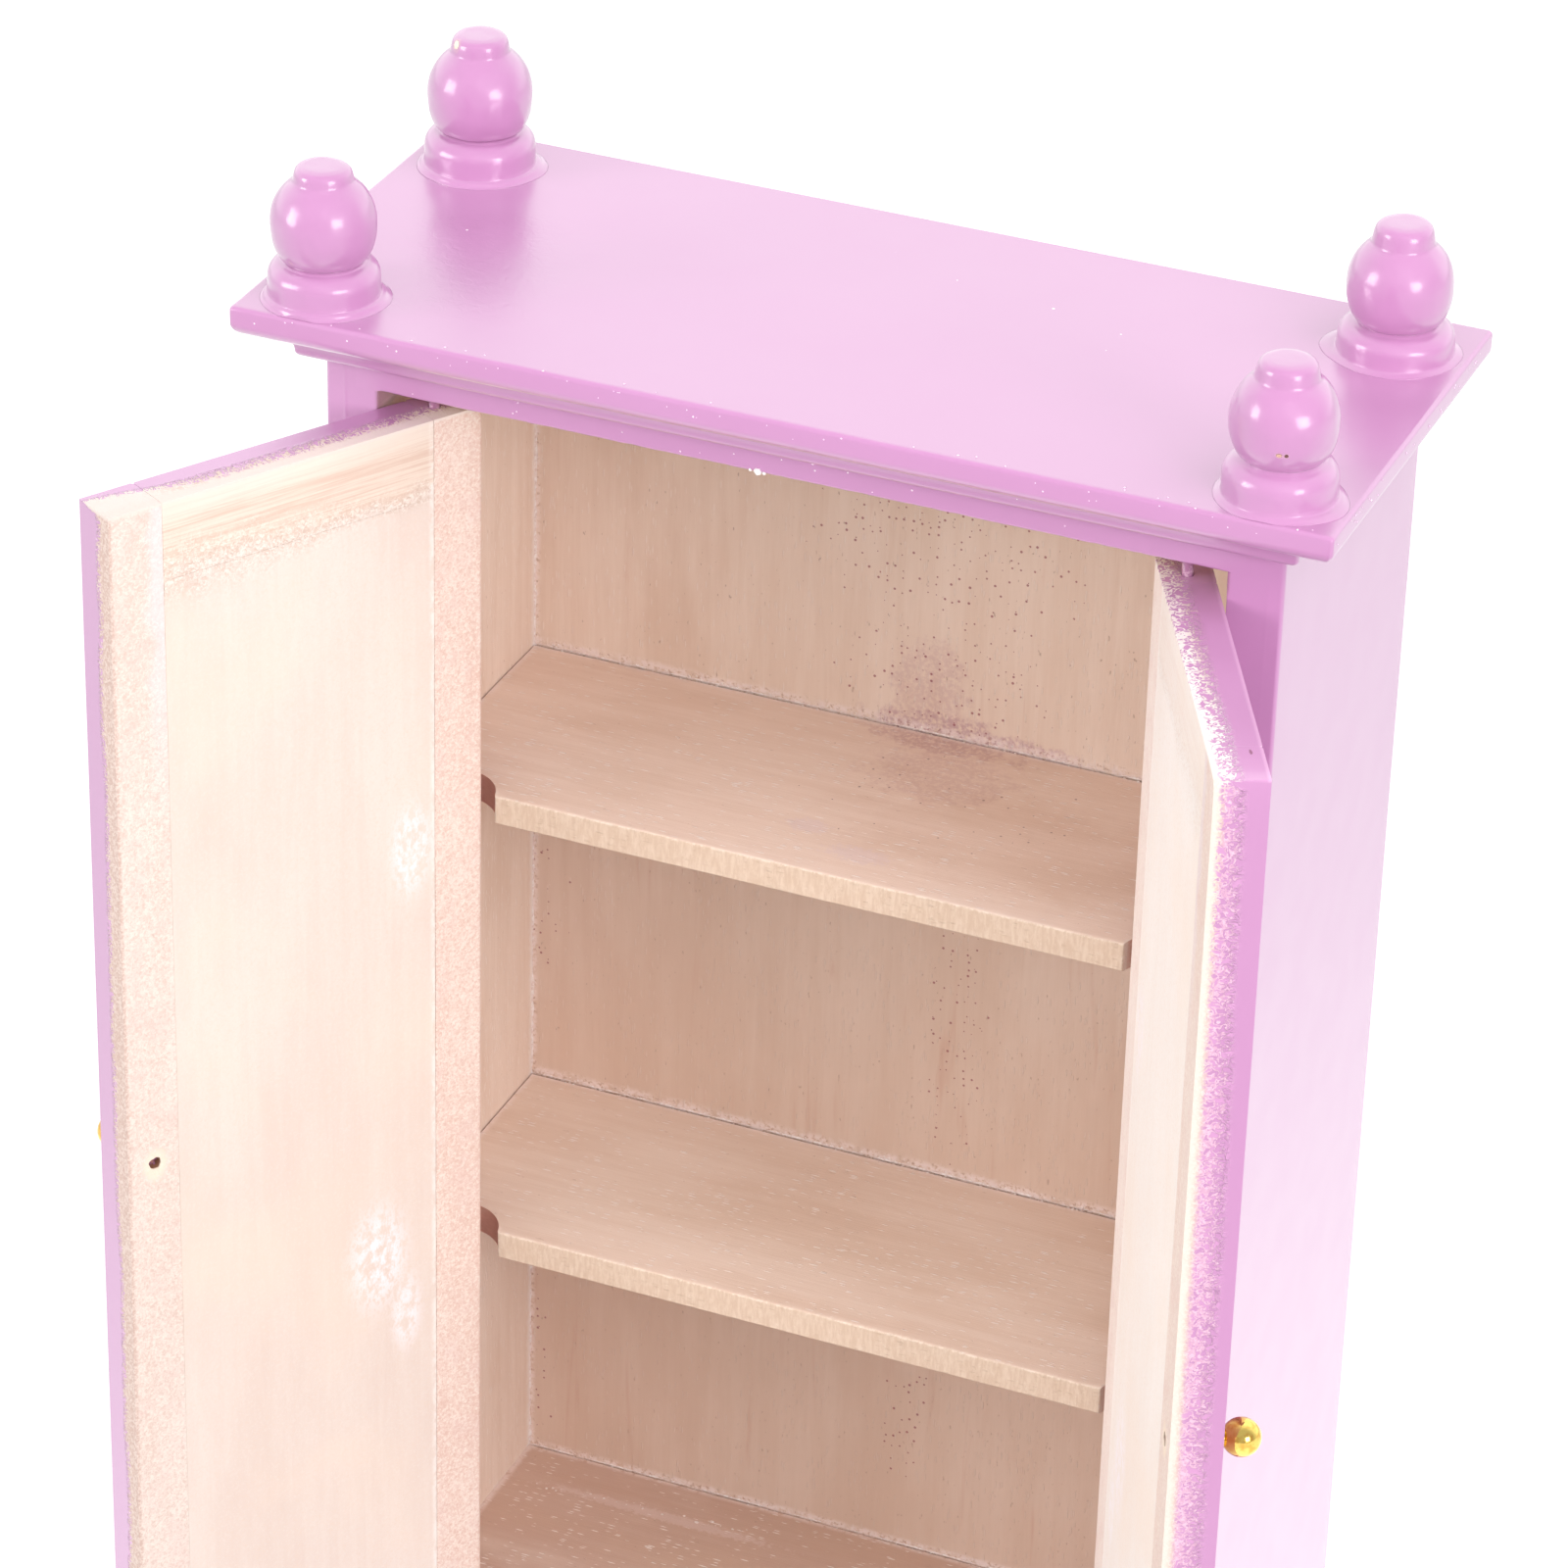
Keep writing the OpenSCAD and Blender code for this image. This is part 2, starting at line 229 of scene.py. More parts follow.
def lathe(profile, segments, uneven=0.0, frequency=0.5, seed=0.0):
    """Solid of revolution about +Z from (radius, height) points; radius 0 closes an end."""
    mesh = bmesh.new()
    shift = Vector((seed * 5.1, seed * 2.3, seed * 9.7))
    rows = []
    for radius, height in profile:
        if radius < 1e-6:
            rows.append([mesh.verts.new((0, 0, height))])
            continue
        row = []
        for i in range(segments):
            angle = 2 * math.pi * i / segments
            place = Vector((radius * math.cos(angle), radius * math.sin(angle), height))
            if uneven:
                lump = noise.noise(place * frequency + shift)
                place = place * (1 + uneven / max(radius, 1.0) * lump)
                place.z = height
            row.append(mesh.verts.new(place))
        rows.append(row)
    for upper, lower in zip(rows[:-1], rows[1:]):
        for i in range(segments):
            j = (i + 1) % segments
            if len(upper) == 1:
                mesh.faces.new((upper[0], lower[i], lower[j]))
            elif len(lower) == 1:
                mesh.faces.new((upper[i], lower[0], upper[j]))
            else:
                mesh.faces.new((upper[i], lower[i], lower[j], upper[j]))
    bmesh.ops.recalc_face_normals(mesh, faces=mesh.faces)
    return mesh


# ------------------------------------------------------------ shader helpers
# Nodes go to the tree of the current owner, a material or the world.
# A mask is a number from 0 to 1.

owner = None


def start_tree(new_owner):
    global owner
    owner = new_owner
    owner.use_nodes = True
    owner.node_tree.nodes.clear()


def start_material(name):
    """Makes a material current and returns the point's place in its piece's frame, in mm."""
    start_tree(bpy.data.materials.new(name))
    return add("Attribute", attribute_type="GEOMETRY", attribute_name="loc")["Vector"]


class Value:
    """One output of a node. Arithmetic adds Math nodes; [key] picks another output."""

    def __init__(self, node, key=0):
        self.node = node
        self.key = key

    def __getitem__(self, key):
        return Value(self.node, key)

    def __add__(self, other):
        return calc("ADD", self, other)

    def __radd__(self, other):
        return calc("ADD", other, self)

    def __sub__(self, other):
        return calc("SUBTRACT", self, other)

    def __rsub__(self, other):
        return calc("SUBTRACT", other, self)

    def __mul__(self, other):
        return calc("MULTIPLY", self, other)

    def __truediv__(self, other):
        return calc("DIVIDE", self, other)

    def __lt__(self, other):
        return calc("LESS_THAN", self, other)

    def __abs__(self):
        return calc("ABSOLUTE", self)


def add(kind, inputs=None, **settings):
    """Adds a node; inputs maps socket names or numbers to values or constants."""
    node = owner.node_tree.nodes.new("ShaderNode" + kind)
    for name, setting in settings.items():
        setattr(node, name, setting)
    for key, value in (inputs or {}).items():
        if isinstance(value, Value):
            owner.node_tree.links.new(value.node.outputs[value.key], node.inputs[key])
        else:
            node.inputs[key].default_value = value
    return Value(node)


def calc(operation, *values, clamp=False):
    return add("Math", dict(enumerate(values)), operation=operation, use_clamp=clamp)


def highest(first, *rest):
    return calc("MAXIMUM", first, highest(*rest)) if rest else first


def split(vector):
    parts = add("SeparateXYZ", {0: vector})
    return parts[0], parts[1], parts[2]


def stretch(vector, scale, shift=(0, 0, 0)):
    return add("VectorMath", {0: vector, 1: scale, 2: shift}, operation="MULTIPLY_ADD")


def clouds(point, scale=1, detail=2, rough=0.5, distort=0):
    return add("TexNoise", {"Vector": point, "Scale": scale, "Detail": detail,
                            "Roughness": rough, "Distortion": distort},
               noise_dimensions="3D")["Fac"]


def cells(point, scale, dimensions="3D"):
    """Distance to the nearest cell's middle, and two random numbers of that cell."""
    cell = add("TexVoronoi", {"Vector": point, "Scale": scale},
               feature="F1", voronoi_dimensions=dimensions)
    return cell["Distance"], *split(cell["Color"])[:2]


def ramp(value, start, end, to=(0, 1), smooth=True):
    """Goes from to[0] where value is start to to[1] where it is end, flat beyond."""
    return add("MapRange", {"Value": value, "From Min": start, "From Max": end,
                            "To Min": to[0], "To Max": to[1]},
               clamp=True, interpolation_type="SMOOTHSTEP" if smooth else "LINEAR")["Result"]


def mix(mask, colour, other):
    return add("Mix", {0: mask, 6: colour, 7: other}, data_type="RGBA", blend_type="MIX")[2]


def fade(mask, number, other):
    return add("Mix", {0: mask, 2: number, 3: other}, data_type="FLOAT")


def blob(x, y, centre, radii, ragged, amount):
    """1 inside an ellipse, 0 outside; ragged noise roughens its edge by amount."""
    across = (x - centre[0]) / radii[0]
    along = (y - centre[1]) / radii[1]
    distance = calc("SQRT", across * across + along * along)
    return ramp(distance + (ragged - 0.5) * (amount * 2), 1, 0.55)


def film(face=0.22):
    """Weight of the wet-looking film: thin seen square on, full at a slant."""
    return ramp(add("LayerWeight", {"Blend": 0.5})["Facing"], 0.12, 0.52, to=(face, 1))


def rgb(*levels):
    """Linear colour from sRGB levels of 0 to 255."""
    shares = [level / 255.0 for level in levels]
    return (*(c / 12.92 if c <= 0.04045 else ((c + 0.055) / 1.055) ** 2.4 for c in shares), 1.0)


class Surface:
    """A colour, a roughness and a height in mm."""

    def __init__(self, colour, rough, height):
        self.colour = colour
        self.rough = rough
        self.height = height

    def tint(self, mask, colour):
        self.colour = mix(mask, self.colour, colour)

    def covered(self, mask, other):
        """This surface, with another one where the mask is 1."""
        return Surface(mix(mask, self.colour, other.colour),
                       fade(mask, self.rough, other.rough),
                       fade(mask, self.height, other.height))

    def material(self, specular=0.5, coat=0.0, coat_rough=0.1, metallic=0.0):
        """Wires the surface to the current material's output."""
        bump = add("Bump", {"Strength": 1.0, "Distance": MM, "Height": self.height})
        shader = add("BsdfPrincipled", {
            "Base Color": self.colour, "Roughness": self.rough, "Metallic": metallic,
            "IOR": 1.5, "Specular IOR Level": specular, "Coat Weight": coat, "Coat IOR": 1.9,
            "Coat Roughness": coat_rough, "Normal": bump, "Coat Normal": bump})
        add("OutputMaterial", {0: shader})
        return owner


PINK = rgb(190, 132, 178)
PINK_LIGHT = rgb(203, 157, 196)
PINK_DEEP = rgb(174, 110, 160)
TAN = rgb(234, 212, 196)
TAN_DARK = rgb(216, 186, 165)
TAN_LIGHT = rgb(246, 229, 217)
WHITE = rgb(250, 244, 244)
GLUE_FILM = rgb(244, 226, 220)
PAINT_COAT_ROUGH = 0.24
# how far the brush marks are drawn out: a small scale makes them long on that axis
BRUSH_X, BRUSH_Z, BRUSH_EVEN = (0.12, 1, 1), (1, 1, 0.12), (1, 1, 1)


def paint(point, brush=BRUSH_EVEN, bumpy=0.4):
    """Satin lilac-pink brush paint with pale dust specks caught in it."""
    broad = clouds(point, 0.045, detail=1)
    colour = mix(broad, mix(0.10, PINK, PINK_DEEP), mix(0.16, PINK, PINK_LIGHT))
    distance, chance, size = cells(point, 0.42)
    radius = ramp(size, 0, 1, to=(0.022, 0.062), smooth=False)
    speck = ramp(chance, 0.86, 0.88) * (distance < radius)
    brushed = clouds(stretch(point, brush), 2.2, detail=4, rough=0.62)
    peel = clouds(point, 0.85)
    height = brushed * (0.0025 * bumpy) + peel * (0.009 * bumpy) + speck * 0.05
    rough = ramp(clouds(point, 0.2, detail=1), 0.2, 0.8, to=(0.28, 0.33))
    return Surface(mix(speck, colour, WHITE), rough, height)


def bare_wood(point, axis, base=TAN, dark=TAN_DARK, light=TAN_LIGHT,
              dashes=0.5, fibre=1.0, pores=0.4):
    """Bare sanded wood with fibres along an axis; the last three are strengths."""
    def fibres(across, along, shift=(0, 0, 0)):
        scale = [across] * 3
        scale[axis] = along
        return stretch(point, scale, shift)

    fine = clouds(fibres(4.5, 0.27), detail=4, rough=0.7)
    middle = clouds(fibres(0.8, 0.048, (3, 7, 1)), detail=3, rough=0.6, distort=0.6)
    cloud = clouds(fibres(0.085, 0.02975, (9, 2, 5)), detail=4, rough=0.6)
    colour = mix(ramp(middle, 0.3, 0.72), mix(0.22, base, dark), mix(0.14, base, light))
    wood = Surface(colour, 0.62, fine * 0.03 + middle * 0.015)
    wood.tint(ramp(fine, 0.52, 0.78) * (0.22 * fibre), dark)
    wood.tint(ramp(fine, 0.47, 0.25) * (0.20 * fibre), light)
    wood.tint(ramp(cloud, 0.46, 0.66) * 0.42, dark)
    wood.tint(ramp(cloud, 0.48, 0.3) * 0.32, light)
    if dashes:
        # short pale dashes where fibres lie torn
        distance, chance, size = cells(fibres(4.6, 0.85, (31, 17, 23)), 1)
        clump = clouds(point, 0.16, detail=3, rough=0.6)
        kept = chance < ramp(clump, 0.35, 0.7, to=(0.08, 0.50))
        radius = ramp(size, 0, 1, to=(0.20, 0.52), smooth=False)
        dash = kept * ramp(distance, radius, radius * 0.55)
        wood.tint(dash * dashes, mix(0.35, light, WHITE))
        wood.height += dash * 0.035
    if pores:
        pore_noise = clouds(fibres(3.6, 1.5, (11, 47, 3)), detail=1, rough=0.4)
        pore = ramp(pore_noise, 0.25, 0.20)
        wood.tint(pore * pores, mix(0.5, dark, rgb(120, 80, 68)))
        wood.height += pore * -0.03
    return wood


def add_specks(surface, x, y, region, scale, share, colour, strength, size):
    """Scatters fine specks inside a region mask; share of the cells hold one."""
    flat_point = add("CombineXYZ", {0: x, 1: y, 2: 0.0})
    distance, chance, wide = cells(flat_point, scale, "2D")
    kept = chance < region * share
    radius = ramp(wide, 0, 1, to=(0.35 * size * scale, size * scale), smooth=False)
    surface.tint(kept * ramp(distance, radius, radius * 0.6) * strength, colour)


# ------------------------------------------------------------ carcase materials

def mat_moulding():
    """Paint of the cornice and the base, with painted highlight and shade lines along the moulding.
    """
    point = start_material("paint_lengthwise")
    coat = paint(point, BRUSH_X)
    x, y, z = split(point)
    # heavier orange peel on the top between the left finials
    zone = (blob(x, y, (-34, -4), (13, 15), clouds(point, 0.12, detail=3), 0.5)
            * ramp(z, TOP_Z - 0.4, TOP_Z - 0.1))
    coat.height += zone * 0.035 * clouds(point, 0.8, detail=3, rough=0.6, distort=1.2)
    # by depth below the top, painted light and shade: a painted highlight line on the arris above
    # the hollow, painted shade in the quirk under it, then a pale painted reflection in the hollow
    deep = TOP_Z - z
    wavy = (clouds(point, 0.5) - 0.5) * 0.25
    thin = ramp(deep + wavy, 2.30, 2.50) * ramp(deep + wavy, 2.78, 2.62)
    dark = ramp(deep, 2.80, 2.88) * ramp(deep, 3.25, 3.05)
    pale = ramp(deep, 3.4, 3.7) * ramp(deep, 4.4, 4.0)
    coat.tint(thin * 0.55, rgb(236, 196, 228))
    coat.tint(dark * 0.75, rgb(146, 84, 128))
    coat.tint(pale * 0.35, rgb(226, 184, 218))
    return coat.material(coat=film(), coat_rough=PAINT_COAT_ROUGH)


def part_painted(surface, bare, bare_specular):
    """Finishes a material whose paint film stops where the bare mask is 1."""
    return surface.material(coat=film() * (1 - bare), coat_rough=PAINT_COAT_ROUGH,
                            specular=fade(bare, 0.5, bare_specular))


def mat_side():
    """Painted outside and on the front edge, bare inside."""
    point = start_material("side_paint_and_bare")
    x, y, z = split(point)
    edge = clouds(point, 1.4, detail=3, rough=0.6)
    inner = ramp(abs(x), IN_X + 0.32, IN_X + 0.10)
    # the paint wraps further round the right side's front edge, and under the top board
    wrap = ramp(x, 0, 1, to=(0, 3))
    behind = ramp(y + edge * 0.7 - wrap, FRONT_Y + 0.45, FRONT_Y + 0.62)
    lip = (ramp(z, CEIL_Z - 2.6, CEIL_Z - 1.4)
           * ramp(y + edge * 2.5, FRONT_Y + 8.5, FRONT_Y + 5.5))
    bare = inner * behind * (1 - lip)
    board = paint(point, BRUSH_Z).covered(
        bare, bare_wood(point, 2, base=rgb(240, 220, 207), dashes=0.5))
    # a faint pink haze where the spray reached past the edge
    haze = bare * ramp(y, FRONT_Y + 4.5, FRONT_Y + 0.5) * 0.35 * ramp(edge, 0.35, 0.7)
    board.tint(haze, PINK_LIGHT)
    # painted shade: dark maroon on the inner face just under the top board
    board.tint(inner * lip * 0.55, rgb(128, 72, 84))
    # front edges: painted light, paler on the left, and painted shade, deeper low on the right
    front = ramp(y, FRONT_Y + 0.5, FRONT_Y + 0.15) * (1 - bare)
    board.tint(front * ramp(x, 0, -1) * 0.45, rgb(212, 164, 202))
    board.tint(front * ramp(x, 0, 1) * ramp(z, 128, 70) * 0.5, PINK_DEEP)
    # pale glue wiped along the joints with the back board
    smear = clouds(point, 1.1, detail=3, rough=0.7)
    joint = ramp(y + smear * 1.2, BACK_Y - 0.4, BACK_Y + 0.5)
    board.tint(bare * joint * 0.5, WHITE)
    board.height += clouds(point, 0.9) * 0.01
    return part_painted(board, bare, 0.28)


def mat_back():
    """Bare inside with vertical grain, painted on the rear face."""
    point = start_material("back_bare_wood")
    x, y, z = split(point)
    bare = ramp(y, BACK_Y + 2.2, BACK_Y + 1.6)
    board = paint(point, BRUSH_Z).covered(bare, bare_wood(point, 2, dashes=0.32, pores=0.55))
    ragged = clouds(point, 0.55, detail=4, rough=0.65)
    fine = clouds(point, 2.4, detail=3, rough=0.7)
    # painted shade: darker low down
    board.tint(bare * ramp(z, 104, 62) * 0.42, rgb(206, 172, 153))
    # reddish fibre streaks
    streak = clouds(stretch(point, (0.55, 0.5, 0.035), (5, 5, 5)),
                    detail=3, rough=0.6, distort=0.6)
    board.tint(bare * ramp(streak, 0.60, 0.78) * 0.30, rgb(196, 136, 112))
    # purple overspray at the upper shelf's joint
    spray = highest(highest(blob(x, z, (2, 101.2), (8, 2.6), ragged, 0.7),
                            blob(x, z, (8.5, 101), (9, 1.6), ragged, 0.8)),
                    blob(x, z, (1, 105.5), (4.6, 6), ragged, 0.9) * 0.45) * bare
    board.tint(spray * 0.55 * ramp(fine, 0.30, 0.62), rgb(176, 122, 142))
    # fine dark-red spray specks in clouds, four inside and two along the left edge
    inside = highest(*(blob(x, z, centre, radii, ragged, amount) for centre, radii, amount in (
        ((2, 120), (15, 10), 0.8), ((2, 106), (12, 8), 0.6),
        ((5, 70), (3.4, 17), 0.7), ((1, 30), (3, 16), 0.7))))
    edges = (ramp(x, -IN_X + reach, -IN_X + 0.2) * blob(z, x, (height, -IN_X), (14, 9), ragged, 0.7)
             for height, reach in ((76, 4.5), (16, 3.0)))
    region = highest(inside, highest(*edges))
    add_specks(board, x, z, region * bare, scale=1.25, share=0.42,
               colour=rgb(150, 72, 84), strength=0.75, size=0.17)
    # pale glue film along the joints, broken by dark crumbs
    glue = clouds(point, 0.8, detail=4, rough=0.7)
    wavy = clouds(stretch(point, (0.25, 0.25, 0.25)), detail=3, rough=0.6)
    upper, lower = (ramp(abs(z - (level + 0.3)), 0.3 + wavy * 1.3, 0.2)
                    for level in (UPPER_Z, LOWER_Z))
    floor_joint = ramp(abs(z - (FLOOR_Z + 0.3)), 0.7, 0.1)
    ends = ramp(abs(x), IN_X - 0.75, IN_X - 0.1)
    joint = highest(highest(upper, lower), highest(floor_joint, ends))
    crumb = clouds(point, 2.6, rough=0.6)
    board.tint(joint * bare * ramp(glue, 0.34, 0.56) * ramp(crumb, 0.36, 0.52) * 0.75,
               rgb(244, 226, 222))
    board.tint(joint * bare * ramp(crumb, 0.40, 0.30) * 0.5, rgb(168, 124, 112))
    board.height += joint * bare * crumb * 0.12
    return part_painted(board, bare, 0.28)


def mat_shelf(node):
    """Bare shelf or bottom board, grain across the width."""
    point = start_material(node + "_wood")
    low, high = box_mm(node)
    x, y, z = split(point)
    normal_z = split(add("NewGeometry")["True Normal"])[2]
    flat = ramp(abs(normal_z), 0.55, 0.8)
    # the lower boards are darker: painted shade deeper in the cabinet
    base = {"upper_shelf": rgb(240, 217, 203), "lower_shelf": rgb(234, 212, 197),
            "bottom_board": rgb(206, 172, 156)}[node]
    wood = bare_wood(point, 0, base=base, dashes=1.0, fibre=0.9, pores=0.3)
    ragged = clouds(point, 0.5, detail=4, rough=0.65)
    fine = clouds(point, 2.1, detail=3, rough=0.7)
    if node != "bottom_board":
        # front edge: duller, with cross marks of the saw
        front = (ramp(y, low.y + 0.35, low.y + 0.12) * ramp(abs(normal_z), 0.85, 0.6))
        saw = clouds(stretch(point, (3.2, 0.6, 0.7)), detail=3, rough=0.7)
        sawn = mix(ramp(saw, 0.35, 0.7), rgb(210, 182, 160), rgb(222, 198, 178))
        sawn = mix(ramp(fine, 0.58, 0.72) * 0.35, sawn, rgb(234, 218, 204))
        wood.tint(front, sawn)
        # worn pale arris
        arris = (ramp(y, low.y + 0.75, low.y + 0.25) * ramp(z, high.z - 0.35, high.z - 0.1)
                 * ramp(fine, 0.42, 0.6))
        wood.tint(arris * 0.75, rgb(238, 218, 202))
        # scorched walls of the notches
        walls = (ramp(abs(normal_z), 0.6, 0.3) * ramp(y, low.y + 0.55, low.y + 0.8)
                 * ramp(abs(x), 29, 29.6))
        end_grain = clouds(stretch(point, (1, 1, 3)), 1.5, detail=3, rough=0.6)
        wood.tint(walls, mix(end_grain, rgb(214, 160, 138), rgb(232, 184, 164)))
        # whitish splinters at the notch corners
        chip = blob(abs(x), y, (30.9, low.y + 0.5), (1, 0.8), fine, 0.8)
        wood.tint(chip * 0.5, rgb(240, 224, 214))
    if node == "upper_shelf":
        # overspray towards the back, two pale smears, a broad darker patch on the right that is
        # painted shade, and dark specks
        spray = highest(blob(x, y, (3, 17), (9, 2.6), ragged, 0.8),
                        blob(x, y, (5, 11), (8, 6), ragged, 0.9) * 0.5)
        wood.tint(spray * flat * 0.45 * ramp(fine, 0.3, 0.6), rgb(178, 124, 132))
        smears = highest(blob(x, y, (-2.6, -2.2), (2.4, 1.5), fine, 0.9),
                         blob(x, y, (3.4, -5.2), (3.6, 1.6), fine, 0.9))
        wood.tint(smears * flat * 0.35, rgb(228, 208, 214))
        # painted shade: a broad darker patch on the right of the shelf
        warm = blob(x, y, (16, 2), (20, 10), ragged, 0.6)
        wood.tint(warm * flat * 0.08, rgb(186, 132, 108))
        add_specks(wood, x, y, flat * blob(x, y, (6, 6), (18, 10), ragged, 0.6), scale=0.8,
                   share=0.18, colour=rgb(120, 74, 72), strength=0.6, size=0.16)
    if node == "bottom_board":
        # a pale smear on the left near the back, and a painted front edge
        smear = blob(x, y, (-22, 12.6), (15, 0.9), fine, 0.9)
        wood.tint(smear * flat * 0.5, rgb(232, 210, 204))
        painted = ramp(y + fine * 0.5, FRONT_Y + 0.75, FRONT_Y + 0.5)
        wood = wood.covered(painted, paint(point, BRUSH_X))
    # pale glue film at the back and at the ends
    glue = clouds(point, 0.9, detail=4, rough=0.7)
    joint = highest(ramp(y, BACK_Y - 0.9, BACK_Y - 0.15), ramp(abs(x), IN_X - 0.8, IN_X - 0.15))
    wood.tint(joint * flat * ramp(glue, 0.32, 0.52) * 0.8, GLUE_FILM)
    return wood.material(specular=0.3)


def mat_top_board():
    """Front edge painted, paler at its left end as painted light; bare behind."""
    point = start_material("top_board_paint")
    x, y, _ = split(point)
    edge = clouds(point, 1.2, detail=3, rough=0.65)
    painted = ramp(y + edge * 1.4, FRONT_Y + 1.6, FRONT_Y + 1.2)
    board = bare_wood(point, 0, base=rgb(222, 192, 172)).covered(painted, paint(point, BRUSH_X))
    # painted light: paler towards the left end
    board.tint(painted * ramp(x, -33, -42) * 0.45, rgb(216, 168, 206))
    return board.material(coat=film() * painted, coat_rough=PAINT_COAT_ROUGH, specular=0.45)


# ------------------------------------------------------------ door materials

def rail_wood(point, left, fine, patchy):
    """Inner face of rails and panel; one colour field, so their joint vanishes."""
    x, _, z = split(point)
    if left:
        base, dark, light = rgb(227, 211, 202), rgb(219, 197, 186), rgb(233, 222, 214)
    else:
        base, dark, light = rgb(243, 236, 231), rgb(238, 227, 219), rgb(247, 242, 238)
    wood = bare_wood(point, 2, base, dark, light, dashes=0, fibre=0.5, pores=0)
    wood.tint(ramp(fine, 0.52, 0.66) * 0.25, light)
    wood.tint(ramp(fine, 0.46, 0.34) * 0.42, rgb(226, 205, 190) if left else rgb(236, 220, 208))
    # warm streaks along the top rail, palest at the very top
    strength = 1.0 if left else 0.3
    below = (DOOR_H - 6.4) + (patchy - 0.5) * 3.5 - z
    streaks = clouds(stretch(point, (0.10, 1, 4.2), (1, 2, 3)), detail=4, rough=0.65, distort=0.3)
    warm = mix(ramp(streaks, 0.35, 0.62), rgb(212, 180, 163), rgb(230, 213, 199))
    warm = mix(ramp(z, DOOR_H - 2.8, DOOR_H - 0.6) * 0.75, warm, rgb(235, 224, 213))
    warm = mix(ramp(x, 20, 4) * 0.25, warm, rgb(232, 213, 196))
    wood.tint(ramp(below, 0.9, -0.9) * (0.85 * strength), warm)
    # they end in an uneven granular band, wider towards the meeting edge
    reach = ramp(x, 0, 30, to=(1.3, 4.2))
    band = (ramp(below, reach * 1.2, reach * 0.1) * ramp(below, reach * -0.9, reach * 0.1))
    wood.tint(band * ramp(fine, 0.52, 0.38) * (0.60 * strength), rgb(205, 178, 163))
    wood.tint(band * ramp(fine, 0.52, 0.64) * (0.60 * strength), rgb(244, 236, 228))
    # the same at the foot, simpler
    wood.tint(ramp(z + patchy * 4, RAIL + 2.5, RAIL + 0.5) * 0.7, warm)
    # three whitish smears, a warm cloud and a pale seam along the hinge stile
    ragged = clouds(stretch(point, (1, 1, 0.6)), 0.9, detail=4, rough=0.75)
    smears = highest(blob(x, z, (4.2, 88.5), (3, 6.5), ragged, 1.1),
                     blob(x, z, (8.2, 46), (4.6, 8), ragged, 1.1),
                     blob(x, z, (5, 39), (2.4, 6), ragged, 1.1) * 0.8)
    wood.tint(smears * ramp(ragged, 0.40, 0.62) * 0.75, rgb(248, 243, 250))
    wood.tint(ramp(clouds(point, 0.05, detail=3), 0.42, 0.7) * 0.30, rgb(243, 222, 204))
    seam = ramp(x, PIVOT_X + STILE + 0.75, PIVOT_X + STILE + 0.15)
    wood.tint(seam * ramp(ragged, 0.35, 0.6) * 0.5, rgb(249, 244, 241))
    wood.height += band * fine * 0.10
    wood.height += fine * 0.02
    return wood


def stile_wood(point, left, hinge, fine, patchy):
    """Inner face of a hinge stile or a meeting stile."""
    x, y, z = split(point)
    base, dark, light = {
        (True, True): (rgb(230, 206, 195), rgb(220, 185, 172), rgb(236, 219, 209)),
        (True, False): (rgb(241, 228, 222), rgb(236, 216, 207), rgb(245, 236, 230)),
        (False, True): (rgb(226, 208, 199), rgb(222, 198, 186), rgb(233, 220, 211)),
        (False, False): (rgb(231, 214, 205), rgb(222, 198, 186), rgb(237, 225, 217)),
    }[hinge, left]
    wood = bare_wood(point, 2, base, dark, light, dashes=0, fibre=0.6, pores=0.08)
    coarse = clouds(point, 1.5, rough=0.6, distort=1)
    wood.tint(ramp(fine, 0.50, 0.62) * 0.60, rgb(240, 228, 218))
    wood.tint(ramp(fine, 0.47, 0.36) * (0.65 if left else 0.25),
              rgb(216, 180, 166) if hinge else rgb(214, 187, 175))
    wood.tint(ramp(coarse, 0.55, 0.68) * 0.25, rgb(240, 230, 222))
    wood.tint(ramp(patchy, 0.48, 0.70) * 0.30, rgb(225, 196, 190))
    wood.height += fine * 0.055
    if not hinge:
        # paler away from the edge near the top
        pale = (ramp(x + patchy * 3, MEET_X - 1.6, MEET_X - 3.2)
                * ramp(z, DOOR_H - 34, DOOR_H - 10))
        wood.tint(pale * 0.5, rgb(232, 221, 226))
        # a pale patch round the knob's hole, and darker inside it
        patch = blob(x, z, (KNOB_X, KNOB_Z - 0.2), (1.5, 1.9), fine, 0.7)
        wood.tint(patch * 0.6, rgb(246, 230, 208))
        inside = (ramp(abs(x - KNOB_X), 0.66, 0.60) * ramp(abs(z - KNOB_Z), 0.66, 0.60)
                  * ramp(y, INNER_Y - 0.05, INNER_Y - 0.2))
        wood.tint(inside, rgb(150, 106, 84))
    return wood


